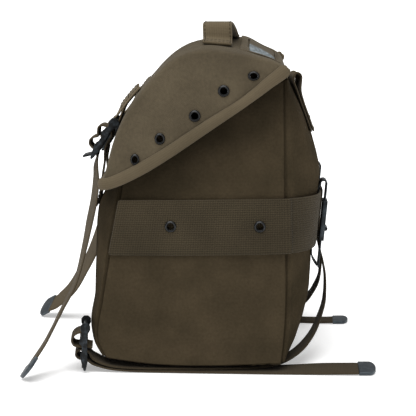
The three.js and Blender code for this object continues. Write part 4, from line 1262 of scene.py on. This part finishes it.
def makeBaseStrap(side, sign):
    makeStrap(f"base_tab_{side}", inFrame(strap["baseTab"], baseFrame(sign)), [f"base_buckle_tab_{side}"])
    route = [(rowPoint({**row, "x": sign * row["x"]}), acrossX) for row in strap["slack"]]
    route += inFrame(strap["baseWeave"], baseFrame(sign))
    end = strap["baseEnd"][side]
    first = strap["floorRun"][0]["y"]
    last = {"y": end["y"], "lift": (strap["tip"]["thickness"] - strap["thickness"]) / 2, "lean": 1}
    for row in strap["floorRun"] + [last]:
        t = clamp((row["y"] - first) / (end["y"] - first))
        x = lerp(sign * buckle["baseSpot"]["x"], end["x"], t * t * (3 - 2 * t))
        drop = end["lean"] * row["lean"]
        z = strap["thickness"] / 2 + row["lift"] + drop * strap["width"] / 2
        route.append((Vector((x, row["y"], z)), Vector((1, 0, -drop)).normalized()))
    frames = makeStrap(f"base_webbing_{side}", route, [f"base_strap_{side}"], shadedBaseWebbing)
    makeTip(f"base_tip_{side}", frames, [f"base_strap_tip_{side}"])


for sideName, sideSign in sides.items():
    makeFlapTab(sideName, sideSign)
    makeFlapStrap(sideName, sideSign)
    makeBaseStrap(sideName, sideSign)
print("straps threaded")


# Harness loops on the back

harness = {
    "x": 62, "shift": {"right": (0, 0), "left": (3.6, -9)}, "seams": (2, 12), "seamWide": 20,
    "route": table(    # up the back panel, over at the top and down again
        "y z turn", (90.4, 192.6, 0), (86.4, 204, 0), (81.4, 216, 3), (76.6, 227, 8), (73.7, 234, 10),
        (73.9, 239, 10), (76.8, 241, 10), (79.6, 239, 10), (79.6, 234, 10), (79.7, 227, 8),
        (83.3, 216.4, 3), (88.2, 204.4, 0), (92.2, 193, 0))}


for sideName, sideSign in sides.items():
    back, lower = harness["shift"][sideName]
    loopRoute = [(Vector((sideSign * harness["x"], row["y"] + back, row["z"] + lower)),
                  turned(row)) for row in harness["route"]]
    loopFrames = makeStrap(f"back_loop_{sideName}", loopRoute, [f"harness_loop_{sideName}"])
    loopOut = 1 if loopFrames[-1]["out"].y > 0 else -1
    loopLength = loopFrames[-1]["length"]
    for fromEnd in harness["seams"]:
        sewAcross(loopFrames, loopLength - fromEnd, loopOut * stitch["lift"], harness["seamWide"])
print("harness loops sewn")


# Belt clips, each with a sleeve that slides on its outer leg

clip = {
    "x": 60, "width": 18, "steel": 1.2, "bevel": 0.3, "perRow": 3, "columns": 2, "tilt": -5.25,
    "foot": {"y": 90.4, "z": 97},
    "inner": table(
        "out up", (7.2, -16.4), (4.8, -13.6), (2.4, -9.6), (1.3, -4), (1.15, 6), (1.15, 30), (1.2, 43),
        (1.4, 47.4)),
    "loop": {"out": 5.7, "up": 53, "radius": 2.7, "steps": 10},
    "outer": table("out up", (8.4, 52), (8.4, 34.5), (8.4, 17), (8.4, -0.5), (8.4, -18)),
    "sleeve": {"halfWidth": 10.6, "inside": 6.8, "outside": 10.6, "low": 5.2, "length": 33.6, "wall": 0.75,
               "bevel": 0.45},
    "nub": {"out": 11.2, "up": 15, "radius": 1.8, "length": 14, "bevel": 0.6}}


def clipFrame(sign):
    turn = Matrix.Rotation(math.radians(clip["tilt"]), 4, "X")
    return Matrix.Translation((sign * clip["x"], clip["foot"]["y"], clip["foot"]["z"])) @ turn


def makeClip(side, sign):
    matrix = clipFrame(sign)
    rows = list(clip["inner"])
    loop = clip["loop"]
    for i in range(1, loop["steps"]):
        angle = math.pi * (1 - i / loop["steps"])
        rows.append({"out": loop["out"] + loop["radius"] * math.cos(angle),
                     "up": loop["up"] + loop["radius"] * math.sin(angle)})
    rows += clip["outer"]
    route = [(matrix @ Vector((0, row["out"], row["up"])), acrossX) for row in rows]
    piece = newRibbon(f"belt_strip_{side}", routeFrames(route, clip["perRow"]), clip["width"], clip["steel"],
                      clip["columns"], rounded=False)
    roundEdges(piece, clip["bevel"], angle=50)
    finishPiece(piece, clipSteel, [f"belt_clip_{side}"], angle=40)

    sleeve = clip["sleeve"]
    half, depth = sleeve["halfWidth"], sleeve["outside"] - sleeve["inside"]
    middle = (sleeve["inside"] + sleeve["outside"]) / 2
    slide = newSolid(bpy.ops.mesh.primitive_cube_add, size=mm, scale=(2 * half, depth, sleeve["length"]),
                     location=Vector((0, middle, sleeve["low"] + sleeve["length"] / 2)) * mm)
    deleteFaces(slide, lambda face: abs(face.normal.z) > 0.9)
    thicken(slide, sleeve["wall"], -1)
    roundEdges(slide, sleeve["bevel"], 3)
    nubSize = clip["nub"]
    nub = newRod(nubSize["radius"], nubSize["length"], (0, nubSize["out"], nubSize["up"]))
    roundEdges(nub, nubSize["bevel"], 3)
    slide = joinPieces([slide, nub], f"belt_sleeve_{side}")
    moveMesh(slide, toMetres(matrix))
    finishPiece(slide, clipSteel, [f"belt_clip_slide_{side}"], f"clip_slide_{side}", 40)


for sideName, sideSign in sides.items():
    makeClip(sideName, sideSign)
print("belt clips set")


# Stitches: one small bead of thread, copied along every sewn line

def makeStitches():
    bead = newPrimitive(bpy.ops.mesh.primitive_uv_sphere_add, segments=stitch["sides"],
                        ring_count=stitch["rings"], radius=1)
    long, wide, high = stitch["size"]
    shape = [Vector((v.co.z * long, v.co.x * wide, v.co.y * high)) for v in bead.data.vertices]
    faces = [list(face.vertices) for face in bead.data.polygons]
    points, loops = [], []
    for point, along, out in stitchSpots:
        ahead = along.normalized()
        across = out.cross(ahead).normalized()
        up = ahead.cross(across)
        first = len(points)
        points += [place(*(point + ahead * p.x + across * p.y + up * p.z)) for p in shape]
        loops += [[first + i for i in face] for face in faces]
    mesh = bpy.data.meshes.new("thread_stitches")
    mesh.from_pydata([tuple(p) for p in points], [], loops)
    mesh.uv_layers.new(name="UVMap")
    bead.data = mesh
    bead.name = "thread_stitches"
    editWhole(bead, faceOutward)
    finishPiece(bead, shadedSewingThread, [], angle=80)


makeStitches()
print("stitches:", len(stitchSpots))

# Floor, light and camera

studio = {"camera": (1306.5, 43.7, 311.3), "tilt": 81.6, "turn": 91.8, "focalPixels": 1500,
          "imageWidth": 416, "sensor": 36, "world": 0.46, "sun": 3.5, "sunSoftness": 60,
          "sunFrom": (0.34, -0.14, 0.92), "floorSize": 120,
          "floorGlow": 0.35}    # the paper is lit from behind, which keeps its shadows pale

floor = newPrimitive(bpy.ops.mesh.primitive_plane_add, size=studio["floorSize"], location=(0, 0, 0))
floor.name = "studio_floor"
floorPaint, _ = newMaterial("paper_matt_white", {
    "Base Color": hexToLinear("#efefef"), "Roughness": 0.9, "Specular IOR Level": 0.1,
    "Emission Color": (1, 1, 1, 1), "Emission Strength": studio["floorGlow"]})
floor.data.materials.append(floorPaint)

world = bpy.data.worlds.new("studio")
bpy.context.scene.world = world
world.use_nodes = True
world.node_tree.nodes["Background"].inputs["Color"].default_value = (1, 1, 1, 1)
world.node_tree.nodes["Background"].inputs["Strength"].default_value = studio["world"]

sunTurn = Vector(studio["sunFrom"]).to_track_quat("Z", "Y").to_euler()
bpy.ops.object.light_add(type="SUN", location=(0, 0, 2), rotation=sunTurn)
sun = bpy.context.object
sun.data.energy = studio["sun"]
sun.data.angle = math.radians(studio["sunSoftness"])

bpy.ops.object.camera_add(location=place(*studio["camera"]),
                          rotation=(math.radians(studio["tilt"]), 0, math.radians(studio["turn"])))
camera = bpy.context.object
camera.data.sensor_width = studio["sensor"]
camera.data.lens = studio["focalPixels"] * studio["sensor"] / studio["imageWidth"]
bpy.context.scene.camera = camera
bpy.context.scene.view_settings.view_transform = "Standard"
print("studio ready")
